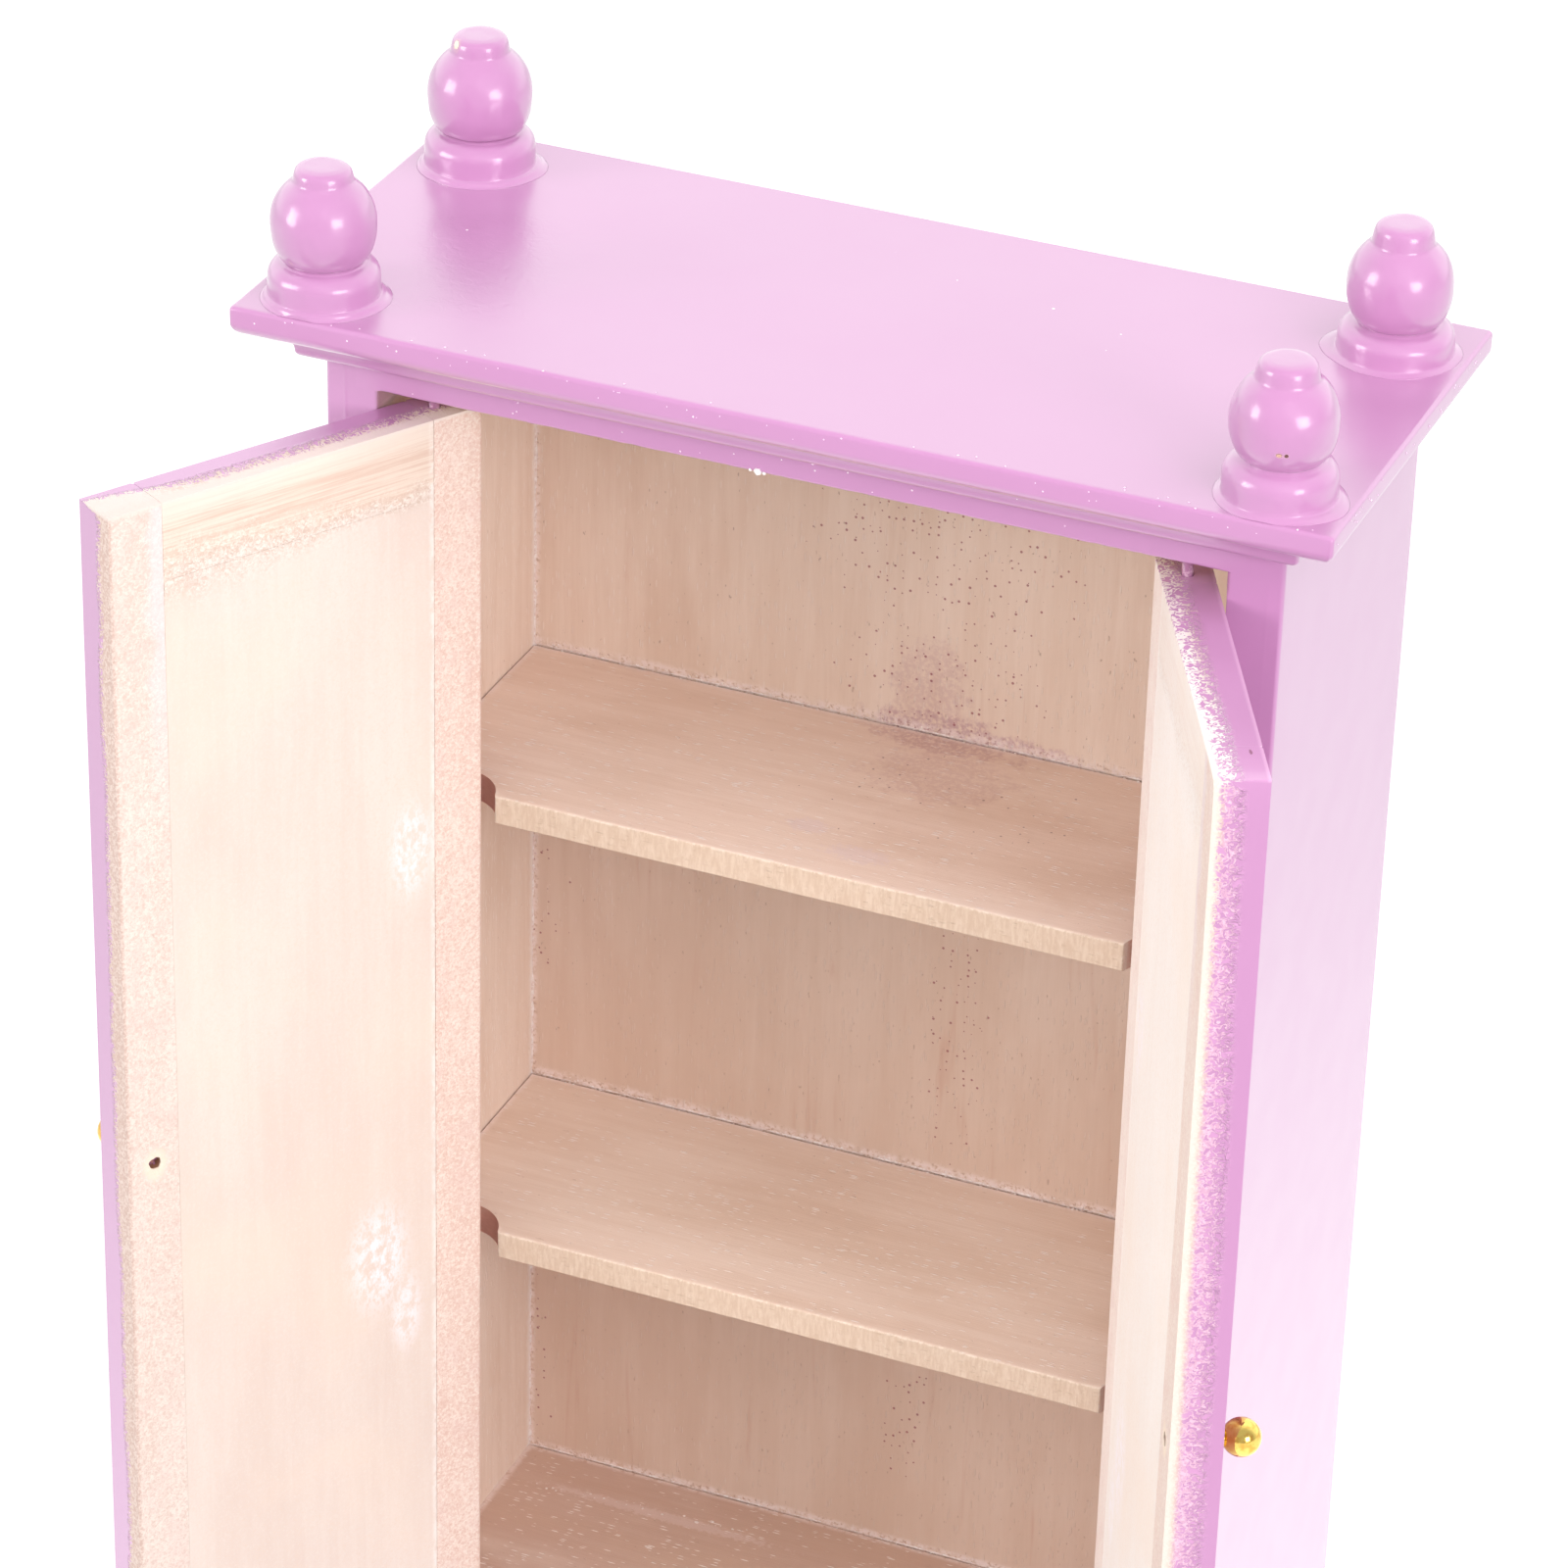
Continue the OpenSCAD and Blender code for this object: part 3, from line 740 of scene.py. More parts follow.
def mat_door(side, part):
    """Painted outside, paint sanded back over the edges, bare pale wood inside."""
    left = side == "left"
    point = start_material(f"{side}_door_{part}")
    x, y, z = split(point)
    depth = (y - OUTER_Y) / DOOR_T      # 0 at the outer face, 1 at the inner face

    on_meet = ramp(x, MEET_X - 0.45, MEET_X - 0.12)
    on_top = ramp(z, DOOR_H - 0.45, DOOR_H - 0.12)
    on_foot = ramp(z, 0.45, 0.12)
    on_hinge = ramp(x, PIVOT_X + 0.5, PIVOT_X + 0.15)

    # sanding marks: grains on the faces, curly worms on the rubbed edges
    fine = clouds(point, 3.7, rough=0.6, distort=0.8)
    curl_scale = 2.6 if left else 1.9
    curls = clouds(stretch(point, (curl_scale, 1.5, curl_scale), (4, 1, 9)),
                   detail=1.5, distort=1.1)
    worm = calc("SUBTRACT", 1, abs(curls - 0.5) * 9, clamp=True)
    patchy = clouds(stretch(point, (0.32, 0.55, 0.32), (2, 8, 6)), detail=3, rough=0.6)

    # depths at which the paint starts to thin and at which it has gone
    if left:
        slow = clouds(stretch(point, (0.05, 0.2, 0.05), (7, 1, 3)))
        meet_thin = ramp(slow, 0.35, 0.65, to=(0.46, 0.54))
        meet_gone = ramp(slow, 0.35, 0.65, to=(0.66, 0.76))
        top_thin = ramp(x, MEET_X, 26, to=(0.06, 0.34))
        top_gone = ramp(x, MEET_X, 22, to=(0.26, 0.80))
    else:
        meet_thin = ramp(z, DOOR_H, 78, to=(0.34, 0.16))
        meet_gone = ramp(z, DOOR_H, 92, to=(0.98, 0.92))
        top_thin = 0.40
        top_gone = ramp(x, 4, 31, to=(1.25, 0.98))

    def depth_of(face, meet, top, hinge, foot):
        level = fade(on_top, fade(on_meet, face, meet), top)
        return fade(on_foot, fade(on_hinge, level, hinge), foot)

    thin = depth_of(face=0.80, meet=meet_thin, top=top_thin, hinge=0.60, foot=0.30)
    gone = depth_of(face=0.86, meet=meet_gone, top=top_gone, hinge=0.75, foot=0.60)
    wear = calc("DIVIDE", depth + (patchy - 0.5) * 0.14 - thin, gone - thin, clamp=True)
    bare = ramp(worm * 0.75 + wear, 0.72, 0.96) * ramp(wear, 0, 0.12)

    coat = paint(point, BRUSH_Z, bumpy=0.5)
    fringe = ramp(wear, 0, 0.25) * highest(on_meet, on_top)
    coat.tint(fringe * ramp(curls, 0.5, 0.62) * 0.35, rgb(222, 160, 206))
    if not left:
        # painted light on the top edge, which is lighter, and a painted highlight line along its
        # outer arris
        coat.tint(on_top * 0.45, rgb(216, 162, 204))
        coat.tint(on_top * ramp(depth, 0.09, 0.03) * 0.7, rgb(224, 176, 212))
    coat.rough += fringe * 0.2
    coat.height += fringe * worm * 0.06

    if part in ("panel", "rail"):
        wood = rail_wood(point, left, fine, patchy)
    else:
        wood = stile_wood(point, left, part == "hinge", fine, patchy)
    # rubbed bare strip on the meeting edge
    strip = mix(ramp(fine, 0.42, 0.60), rgb(202, 172, 160), rgb(224, 204, 194))
    if not left:
        stained = mix(ramp(fine, 0.42, 0.60), rgb(206, 150, 188), rgb(224, 180, 208))
        strip = mix(ramp(depth, 0.72, 0.88), stained, strip)
    wood.tint(on_meet * 0.80, strip)
    # the end grain of the top edge is palest by the meeting edge
    near_end = ramp(x, 24, 31) if left else ramp(x, 14, 28)
    top = mix(near_end,
              mix(ramp(curls, 0.45, 0.58), rgb(208, 184, 172), rgb(236, 222, 212)),
              rgb(231, 219, 212) if left else rgb(243, 236, 232))
    top = mix(ramp(depth, 0.62, 0.85), top, rgb(231, 216, 208) if left else rgb(244, 235, 228))
    wood.tint(on_top * 0.9, top)
    if not left:
        wood.tint(on_meet * ramp(depth, 0.78, 0.95) * 0.8, rgb(232, 220, 210))

    door = coat.covered(bare, wood)
    # the paint stands a little proud of the bare wood
    door.height += (1 - bare) * 0.04
    if not left and part == "meet":
        # a dark nick in the top edge
        nick = blob(x, y, (30.2, -1.2), (0.55, 0.16), fine, 0.5)
        door.tint(nick * on_top * 0.8, rgb(120, 66, 80))
    return part_painted(door, bare, 0.25)


# ------------------------------------------------------------ small-part materials

def mat_brass():
    point = start_material("polished_brass")
    cloud = clouds(point, 1.6, detail=3, rough=0.6)
    colour = mix(ramp(cloud, 0.4, 0.7), rgb(248, 216, 118), rgb(232, 178, 84))
    turning = clouds(stretch(point, (0.6, 0.6, 9)))
    height = turning * 0.004 + clouds(point, 5) * 0.004
    rough = ramp(cloud, 0.3, 0.7, to=(0.05, 0.14))
    return Surface(colour, rough, height).material(metallic=1.0)


def mat_steel():
    """Wire of the pins, smeared with paint."""
    start_material("pin_wire")
    point = stretch(add("TexCoord")["Object"], (1000, 1000, 1000))
    drawn = clouds(stretch(point, (3, 3, 0.4)), detail=3, rough=0.6)
    spots = clouds(point, 1.9, detail=3, rough=0.6)
    colour = mix(drawn, rgb(176, 120, 158), rgb(160, 104, 140))
    wire = Surface(colour, ramp(drawn, 0.3, 0.7, to=(0.35, 0.5)), spots * 0.05)
    wire.tint(ramp(spots, 0.48, 0.60) * 0.6, rgb(224, 190, 208))
    return wire.material(coat=film(), coat_rough=0.25)


def mat_glue(name, light, dark):
    point = start_material(name)
    cloud = clouds(point, 3, detail=3, rough=0.6)
    colour = mix(ramp(cloud, 0.35, 0.65), light, dark)
    rough = ramp(cloud, 0.3, 0.7, to=(0.38, 0.55))
    return Surface(colour, rough, cloud * 0.03).material(specular=0.4)


PAINT_X = mat_moulding()
SIDE_MATERIAL = mat_side()
BACK_MATERIAL = mat_back()
TOP_MATERIAL = mat_top_board()
SHELF_MATERIALS = {node: mat_shelf(node) for node in ("upper_shelf", "lower_shelf", "bottom_board")}
BRASS = mat_brass()
STEEL = mat_steel()
GLUE = mat_glue("dried_glue", rgb(246, 236, 232), rgb(228, 206, 198))


# ------------------------------------------------------------ carcase boards

def side_piece(side):
    sign = -1 if side == "left" else 1
    mesh = cad_mesh(side + "_side")

    def outer(start, end):
        return both_at(start, end, 0, sign * OUT_X) and abs(start.y - end.y) < NEAR

    def front_inner(start, end):
        return both_at(start, end, 0, sign * IN_X) and max(start.y, end.y) < FRONT_Y + NEAR

    soften(mesh, 0.38, 4, outer)
    soften(mesh, 0.16, 2, front_inner)
    cut_every(mesh, 2, 2.2)
    cut_every(mesh, 1, 2.4)
    ridge = -42.2 if side == "left" else 42.7
    cut_planes(mesh, 0, [ridge + offset for offset in (-0.28, -0.12, 0, 0.12, 0.28)]
               + [sign * 40.6])
    wobble(mesh, 0.05, (0.09, 0.09, 0.05), 3.0 + sign)
    # a run of paint down the front edge
    for vert in mesh.verts:
        off_ridge = abs(vert.co.x - ridge)
        if vert.co.y < FRONT_Y + 0.12 and off_ridge < 0.2:
            swell = max(0.0, 0.6 + 0.6 * jitter(vert.co.z * 0.12, sign * 3.0, 0.5))
            strength = 1.0 if side == "left" else 0.5
            vert.co.y -= 0.075 * (1 - off_ridge / 0.28) * swell * strength
    # flush with the top board's front edge where they meet
    for vert in mesh.verts:
        if (vert.co.y < FRONT_Y + 0.3 and vert.co.z > CEIL_Z - 1.0
                and abs(vert.co.x) < OUT_X - 0.5 and abs(vert.co.x - ridge) > 0.2):
            vert.co.y = min(vert.co.y, FRONT_Y)
    tidy(mesh)
    finish_piece(side + "_side_board", mesh, "carcase", SIDE_MATERIAL,
                 (side + "_side",))


def plain_board(node, name, material, depth, spacings, edge, seed):
    """A board cut every spacing mm on each axis that has one."""
    mesh = cad_mesh(node)
    soften(mesh, edge, 3)
    for axis, spacing in enumerate(spacings):
        if spacing:
            cut_every(mesh, axis, spacing)
    wobble(mesh, depth, 0.12, seed)
    tidy(mesh)
    finish_piece(name, mesh, "carcase", material, (node,))


def top_board_piece():
    mesh = cad_mesh("top_board")

    def low_front(start, end):
        return max(start.y, end.y) < FRONT_Y + NEAR and both_at(start, end, 2, CEIL_Z)

    soften(mesh, 0.22, 3, low_front)
    cut_every(mesh, 0, 0.55)
    cut_planes(mesh, 1, [FRONT_Y + 0.6, FRONT_Y + 1.3, FRONT_Y + 3.0, 0.0, 8.0])
    cut_planes(mesh, 2, [CEIL_Z + 0.45, CEIL_Z + 1.2, CEIL_Z + 2.0])
    wobble(mesh, 0.015, 0.15, 9.0)
    # ragged bead of paint along the lower front edge
    for vert in mesh.verts:
        x, y, z = vert.co
        if y < FRONT_Y + 0.75 and z < CEIL_Z + 0.5:
            weight = max(0.0, 1 - (z - CEIL_Z) / 0.5) * max(0.0, 1 - (y - FRONT_Y) / 0.8)
            rag = jitter(x * 0.9, 1.7, 0.0) + 0.6 * jitter(x * 2.7, 4.1, 0.0)
            vert.co.z -= 0.05 * weight * (1 + rag)
            vert.co.y -= 0.05 * weight * (1 + 0.6 * rag)
    # the ends run out into the sides under one coat of paint
    for vert in mesh.verts:
        if abs(vert.co.x) > IN_X + 0.05:
            if vert.co.y < FRONT_Y + 0.3:
                vert.co.y = FRONT_Y - 0.004
            if vert.co.z < CEIL_Z + 0.25:
                vert.co.z = CEIL_Z - 0.05
            if abs(vert.co.x) > IN_X + 1.5:
                vert.co.x += math.copysign(0.05, vert.co.x)
    tidy(mesh)
    finish_piece("top_board_frieze", mesh, "carcase", TOP_MATERIAL,
                 ("top_board",))


def shelf_piece(node, seed):
    """A shelf with worn front edge, a hair short of the back and sides."""
    mesh = cad_mesh(node)
    low, high = box_mm(node)
    soften(mesh, 0.20, 3, lambda start, end: max(start.y, end.y) < low.y + NEAR)
    for vert in mesh.verts:
        if vert.co.y > high.y - NEAR:
            vert.co.y -= 0.22
        if abs(vert.co.x) > high.x - NEAR:
            vert.co.x -= math.copysign(0.10, vert.co.x)
    cut_every(mesh, 0, 0.7)
    cut_planes(mesh, 1, [low.y + 0.45, low.y + 0.9, low.y + 1.8]
               + [low.y + 3.6 + 2.6 * i for i in range(9)])
    wobble(mesh, 0.05, (0.08, 0.2, 0.2), seed)
    # nicks and saw marks along the front edge
    for vert in mesh.verts:
        x, y, z = vert.co
        if y < low.y + 0.3:
            rag = jitter(x * 0.8, seed, z * 0.5) + 0.7 * jitter(x * 2.3, seed, z)
            vert.co.y += 0.05 * (1 + rag)
            if z > high.z - 0.15:
                vert.co.z -= 0.05 * max(0.0, rag + 0.2)
            elif z < low.z + 0.15:
                vert.co.z += 0.06 * max(0.0, 0.3 - rag)
    tidy(mesh)
    finish_piece(node + "_board", mesh, "carcase", SHELF_MATERIALS[node], (node,))


# ------------------------------------------------------------ cornice and base

def turned_points(angles, place):
    """Points place(cosine, sine) at angles in degrees."""
    return [place(math.cos(math.radians(a)), math.sin(math.radians(a))) for a in angles]


def moulding_profile():
    """(inset, depth) from the flat face to the lip, depth always growing."""
    points = [
        # rounded edge and square band
        *turned_points(range(0, 91, 15), lambda c, s: (0.42 - 0.42 * s, 0.42 - 0.42 * c)),
        (0.0, 0.80), (0.0, 1.20), (0.0, 1.6),
        # quarter round, quirk and hollow
        *turned_points(range(10, 91, 10), lambda c, s: (1.2 - 1.2 * c, 1.6 + 1.2 * s)),
        (1.45, 2.82), (1.68, 2.84), (1.72, 2.90),
        *turned_points(range(10, 81, 10), lambda c, s: (1.7 + 2.4 * s, 5.2 - 2.4 * c)),
        # small rounded lip
        (4.09, 4.95), (4.10, 5.06),
        *turned_points(range(15, 91, 15), lambda c, s: (4.70 - 0.60 * c, 5.10 + 0.60 * s)),
    ]
    profile = [points[0]]
    for inset, depth in points[1:]:
        profile.append((inset, max(depth, profile[-1][1] + 0.004)))
    return profile


def moulded_piece(node, flip, seed):
    """Cornice, or base when flipped: moulded at the front and both ends, flat behind."""
    low, high = box_mm(node)
    wide, deep, turns, corner = 90, 36, 4, 0.35    # spans per side and corner, corner radius
    mesh = bmesh.new()

    def ring_points(inset):
        left_x, right_x = low.x + inset, high.x - inset
        front_y, start_y = low.y + inset, low.y + inset + corner
        bends = [math.radians(90 * i / turns) for i in range(1, turns)]
        left = [(left_x, high.y + (start_y - high.y) * i / deep) for i in range(deep + 1)]
        left_bend = [(left_x + corner - corner * math.cos(a), start_y - corner * math.sin(a))
                     for a in bends]
        front = [(left_x + corner + (right_x - left_x - 2 * corner) * i / wide, front_y)
                 for i in range(wide + 1)]
        right_bend = [(right_x - corner + corner * math.sin(a), start_y - corner * math.cos(a))
                      for a in bends]
        right = [(right_x, start_y + (high.y - start_y) * i / deep) for i in range(deep + 1)]
        return left + left_bend + front + right_bend + right

    rings = []
    for inset, depth in moulding_profile():
        z = low.z + depth if flip else high.z - depth
        rings.append([mesh.verts.new((x, y, z)) for x, y in ring_points(inset)])
    grid_faces(mesh, rings)

    def row_across(start, end):
        """Vertices from one end of a ring to the other."""
        x, y, z = start.co
        inner = [mesh.verts.new((x + (end.co.x - x) * k / wide, y, z)) for k in range(1, wide)]
        return [start, *inner, end]

    def cap(ring):
        """Fills the flat face inside a ring and returns its rear row."""
        rows = [row_across(ring[i], ring[-1 - i]) for i in range(deep + 1)]
        grid_faces(mesh, rows)
        first = deep + turns
        front = ring[first:first + wide + 1]
        grid_faces(mesh, [rows[-1], front])
        mesh.faces.new([rows[-1][0]] + ring[deep + 1:first] + [front[0]])
        mesh.faces.new([rows[-1][-1], front[-1]] + ring[first + wide + 1:first + wide + turns])
        return rows[0]

    first_row = cap(rings[0])
    last_row = cap(rings[-1])
    back = [row_across(ring[0], ring[-1]) for ring in rings[1:-1]]
    grid_faces(mesh, [first_row, *back, last_row])
    bmesh.ops.recalc_face_normals(mesh, faces=mesh.faces)
    wobble(mesh, 0.045, (0.10, 0.10, 0.4), seed)
    # nibs and small nicks along the square edge, and in the hollow
    for vert in mesh.verts:
        x, y, _ = vert.co
        depth = vert.co.z - low.z if flip else high.z - vert.co.z
        inset = min(y - low.y, x - low.x, high.x - x)
        if depth < 0.6 and inset < 0.6:
            rag = jitter(x * 0.5, y * 0.5, seed) + 0.8 * jitter(x * 1.9, y * 1.9, seed)
            vert.co.z += 0.022 * rag * (-1 if flip else 1)
        if depth > 2.4 and inset < 2.0:
            rag = jitter(x * 0.7, y * 0.7, seed + 5) + 0.7 * jitter(x * 2.2, y * 2.2, seed + 5)
            vert.co.z += 0.03 * rag
    finish_piece(node + "_moulded", mesh, "carcase", PAINT_X, (node,))


# ------------------------------------------------------------ finials

# Each finial was turned by hand.
# outline: height of the tip, middle and radius of the ball, radii of the neck and of its join
#   with the ball, height of the paint pooled at the foot, radius of the foot, and how softly
#   the paint fills the grooves
# shift: from the middle of its box; run: direction (radians) and size of the run at the foot
# chips: (place from the foot's middle, radii, colour)
FINIALS = {
    "finial_front_left": dict(
        outline=dict(top=12.30, ball=7.15, radius=4.62, neck=2.66, join=2.92,
                     lift=0.52, foot=5.02, soft=0.09),
        shift=(0.0, 0.0), run=(0.35, 0.25),
        chips=[((-1.2, -4.2, 4.4), (0.25, 0.25, 0.25), rgb(240, 214, 232))]),
    "finial_front_right": dict(
        outline=dict(top=12.42, ball=7.15, radius=4.56, neck=2.76, join=3.38,
                     lift=0.30, foot=4.92, soft=0.14),
        shift=(-0.05, 0.0), run=(-0.25, 0.6),
        chips=[((1.62, -4.22, 5.75), (0.20, 0.20, 0.18), rgb(98, 50, 44)),
               ((1.05, -4.36, 5.75), (0.26, 0.26, 0.20), rgb(206, 164, 140))]),
    "finial_rear_left": dict(
        outline=dict(top=12.70, ball=7.16, radius=4.74, neck=2.70, join=3.08,
                     lift=0.42, foot=5.10, soft=0.09),
        shift=(0.24, -0.1), run=(0.2, 0.45),
        chips=[((-1.22, -2.27, 12.2), (0.42, 0.45, 0.52), rgb(244, 226, 204))]),
    "finial_rear_right": dict(
        outline=dict(top=12.05, ball=6.45, radius=4.60, neck=2.74, join=3.22,
                     lift=0.18, foot=5.16, soft=0.12),
        shift=(0.02, -0.85), run=(3.3, 0.7),
        chips=[((1.0, -4.4, 4.6), (0.3, 0.3, 0.3), rgb(246, 224, 240))]),
}


def finial_outline(top, ball, radius, neck, join, lift, foot, soft):
    """Radii and heights from the tip down to the rim of the paint pooled round the foot."""
    rise = math.sqrt(radius * radius - join * join)
    join_z = ball + rise
    points = [(0.0, top), (0.9, top), (1.62, top - 0.02), (2.12, top - 0.14),
              (2.42, top - 0.40), (2.55, top - 0.72), (2.60, top - 0.95),
              (neck, join_z + 0.16 + 0.55 * (join - neck)), (join - 0.02, join_z + 0.03)]
    # the ball: round above its middle, fuller below
    points += [(math.sqrt(max(0.0, radius * radius - d * d)), ball + d)
               for d in np.linspace(rise, 0.0, 26)]
    power = 2.6
    drop = 3.28
    points += [(radius * (1 - (d / radius) ** power) ** (1 / power), ball - d)
               for d in np.linspace(0.15, drop, 24)]
    # groove, rounded foot and pooled paint
    groove = ball - drop - 0.16
    share = (groove - lift) / 2.9
    middle = groove - 1.50 * share
    points += [(3.40, groove), (3.58, groove - 0.02)]
    points += turned_points((*range(78, 7, -10), 0), lambda c, s: (
        3.42 + (foot - 3.50) * c, middle + 1.34 * share * s))
    points += [(foot - 0.07, middle - 0.6 * share), (foot - 0.06, lift + 0.20),
               (foot - 0.05, lift + 0.02), (foot + 0.12, lift), (foot + 0.20, lift * 0.86),
               (foot + 0.25, lift * 0.62), (foot + 0.30, lift * 0.36),
               (foot + 0.38, lift * 0.14), (foot + 0.50, 0.015), (foot + 0.60, -0.02)]
    points = np.array(points)
    spacing = 0.02
    lengths = np.hypot(*np.diff(points, axis=0).T)
    travelled = np.concatenate([[0], np.cumsum(lengths)])
    stations = np.linspace(0, travelled[-1], int(travelled[-1] / spacing))
    raw_radii = np.interp(stations, travelled, points[:, 0])
    radii = smooth_series(raw_radii, soft / spacing)
    heights = smooth_series(np.interp(stations, travelled, points[:, 1]), soft / spacing)
    radii[0], radii[-1], heights[-1] = 0.0, raw_radii[-1], -0.02
    return radii, heights


def mat_finial(node):
    """Paint, with the chips this finial has lost."""
    low, high = box_mm(node)
    centre_x, centre_y = (low.x + high.x) / 2, (low.y + high.y) / 2
    point = start_material("paint_" + node)
    coat = paint(point)
    ragged = clouds(point, 2.5, detail=3, rough=0.6)
    for (x, y, z), radii, colour in FINIALS[node]["chips"]:
        middle = (centre_x + x, centre_y + y, TOP_Z + z)
        offset = add("VectorMath", {0: point, 1: middle}, operation="SUBTRACT")
        scaled = stretch(offset, [1 / radius for radius in radii])
        distance = (add("VectorMath", {0: scaled}, operation="LENGTH")["Value"]
                    + (ragged - 0.5) * 0.9)
        chip = ramp(distance, 1.05, 0.8)
        coat.tint(ramp(distance, 1.7, 1.2) * 0.35, rgb(214, 170, 176))
        coat.tint(chip, colour)
        coat.height += chip * -0.08
        coat.rough = fade(chip, coat.rough, 0.7)
    return coat.material(coat=film(0.30), coat_rough=0.16)


def finial_piece(node, seed):
    low, high = box_mm(node)
    finial = FINIALS[node]
    centre_x = (low.x + high.x) / 2 + finial["shift"][0]
    centre_y = (low.y + high.y) / 2 + finial["shift"][1]
    lift, foot = finial["outline"]["lift"], finial["outline"]["foot"]
    run_angle, run_size = finial["run"]
    radii, heights = finial_outline(**finial["outline"])
    picked = np.linspace(0, len(radii) - 1, 210).astype(int)
    profile = [(0.0, float(heights[0]))]
    profile += [(float(radii[i]), float(heights[i])) for i in picked if radii[i] > 0.25]
    profile += [(1.25, -0.03), (1.25, -4.0), (0.0, -4.0)]    # dowel
    mesh = lathe(profile, 144, uneven=0.06, frequency=0.42, seed=seed)
    bmesh.ops.translate(mesh, vec=Vector((centre_x, centre_y, TOP_Z)), verts=mesh.verts)
    # small dents and lumps in the paint film, and the run at the foot
    mesh.normal_update()
    for vert in mesh.verts:
        height = vert.co.z - TOP_Z
        if height > lift + 0.3:
            dent = noise.noise(vert.co * 1.1 + Vector((seed, 2 * seed, 0)))
            lump = noise.noise(vert.co * 0.5 + Vector((3 * seed, seed, 5)))
            vert.co -= vert.normal * (0.015 * (1 + dent) - 0.035 * lump)
        elif height > -0.5:
            offset = Vector((vert.co.x - centre_x, vert.co.y - centre_y, 0))
            radius = offset.length
            if radius > foot + 0.08:
                turn = math.atan2(offset.y, offset.x) - run_angle
                turn = math.atan2(math.sin(turn), math.cos(turn))
                run = run_size * math.exp(-(turn / 0.55) ** 2)
                outward = offset / radius
                rag = (noise.noise(outward * 1.6 + Vector((seed, 0, 0)))
                       + 0.35 * noise.noise(outward * 6.0 + Vector((0, seed, 0))))
                weight = min(1.0, (radius - foot - 0.08) / 0.4)
                radius += weight * (run + 0.10 * rag)
                vert.co.x = centre_x + outward.x * radius
                vert.co.y = centre_y + outward.y * radius
                vert.co.z += 0.05 * weight * (1 - weight) * 4 * (run + 0.2 * rag)
            # stay on the cornice
            vert.co.x = min(max(vert.co.x, COR_LOW.x + 0.22), COR_HIGH.x - 0.22)
            vert.co.y = min(max(vert.co.y, COR_LOW.y + 0.22), COR_HIGH.y - 0.22)
    finish_piece(node + "_turned", mesh, "carcase", mat_finial(node), (node,),
                 weighted=False)


# ------------------------------------------------------------ doors

# CAD piece and the kind of material it wears
DOOR_PARTS = {"hinge_stile": "hinge", "meeting_stile": "meet", "top_rail": "rail",
              "bottom_rail": "rail", "door_panel": "panel"}


def on_door_outline(start, end):
    limits = ((0, PIVOT_X), (0, MEET_X), (2, 0.0), (2, DOOR_H))
    return any(both_at(start, end, axis, value) for axis, value in limits)


def on_recess(start, end):
    """Edges round the recess on the outer face."""
    return max(start.y, end.y) < OUTER_Y + NEAR and not on_door_outline(start, end)


def on_joint(start, end):
    """Upright joints on the inner face."""
    return (not on_door_outline(start, end) and min(start.y, end.y) > INNER_Y - NEAR
            and abs(start.x - end.x) < NEAR)


def round_corner(mesh):
    """Rubs the top meeting corner round towards the inner face."""
    radius = 1.5
    centre_x, centre_z = MEET_X - radius, DOOR_H - radius
    for vert in mesh.verts:
        x, z = vert.co.x - centre_x, vert.co.z - centre_z
        distance = math.hypot(x, z)
        if x > 0 and z > 0 and distance > radius * 0.6:
            weight = min(1.0, max(0.0, (vert.co.y - OUTER_Y) / DOOR_T - 0.35) / 0.5)
            factor = 1 + (max(x, z) / distance - 1) * weight
            vert.co.x = centre_x + x * factor
            vert.co.z = centre_z + z * factor


def tear_hole(mesh, seed):
    """Makes the rim of the knob's hole ragged on the inner face."""
    for vert in mesh.verts:
        x, z = vert.co.x - KNOB_X, vert.co.z - KNOB_Z
        if vert.co.y > INNER_Y - 0.3 and math.hypot(x, z) < 0.75:
            angle = math.atan2(z, x)
            factor = 1 + 0.22 * jitter(math.cos(angle) * 1.7, math.sin(angle) * 1.7, seed)
            vert.co.x = KNOB_X + x * factor
            vert.co.z = KNOB_Z + z * factor


def door_piece(side, part, material, seed):
    to_world = door_matrix(side)
    node = side + "_" + part
    mesh = cad_mesh(node, to_world.inverted())
    soften(mesh, 0.05, 1, on_joint, min_length=2.0)
    soften(mesh, 0.28, 3, on_recess, min_length=2.0)
    soften(mesh, 0.26, 3, on_door_outline, min_length=2.0)
    cut_every(mesh, 2, 2.0)
    cut_every(mesh, 0, 2.2)
    wobble(mesh, 0.035, (0.15, 0.3, 0.08), seed)
    if part == "meeting_stile":
        if side == "right":
            round_corner(mesh)
        tear_hole(mesh, seed)
    tidy(mesh)
    finish_piece(node + "_board", mesh, side + "_door", material, (node,),
                 to_world=to_world)


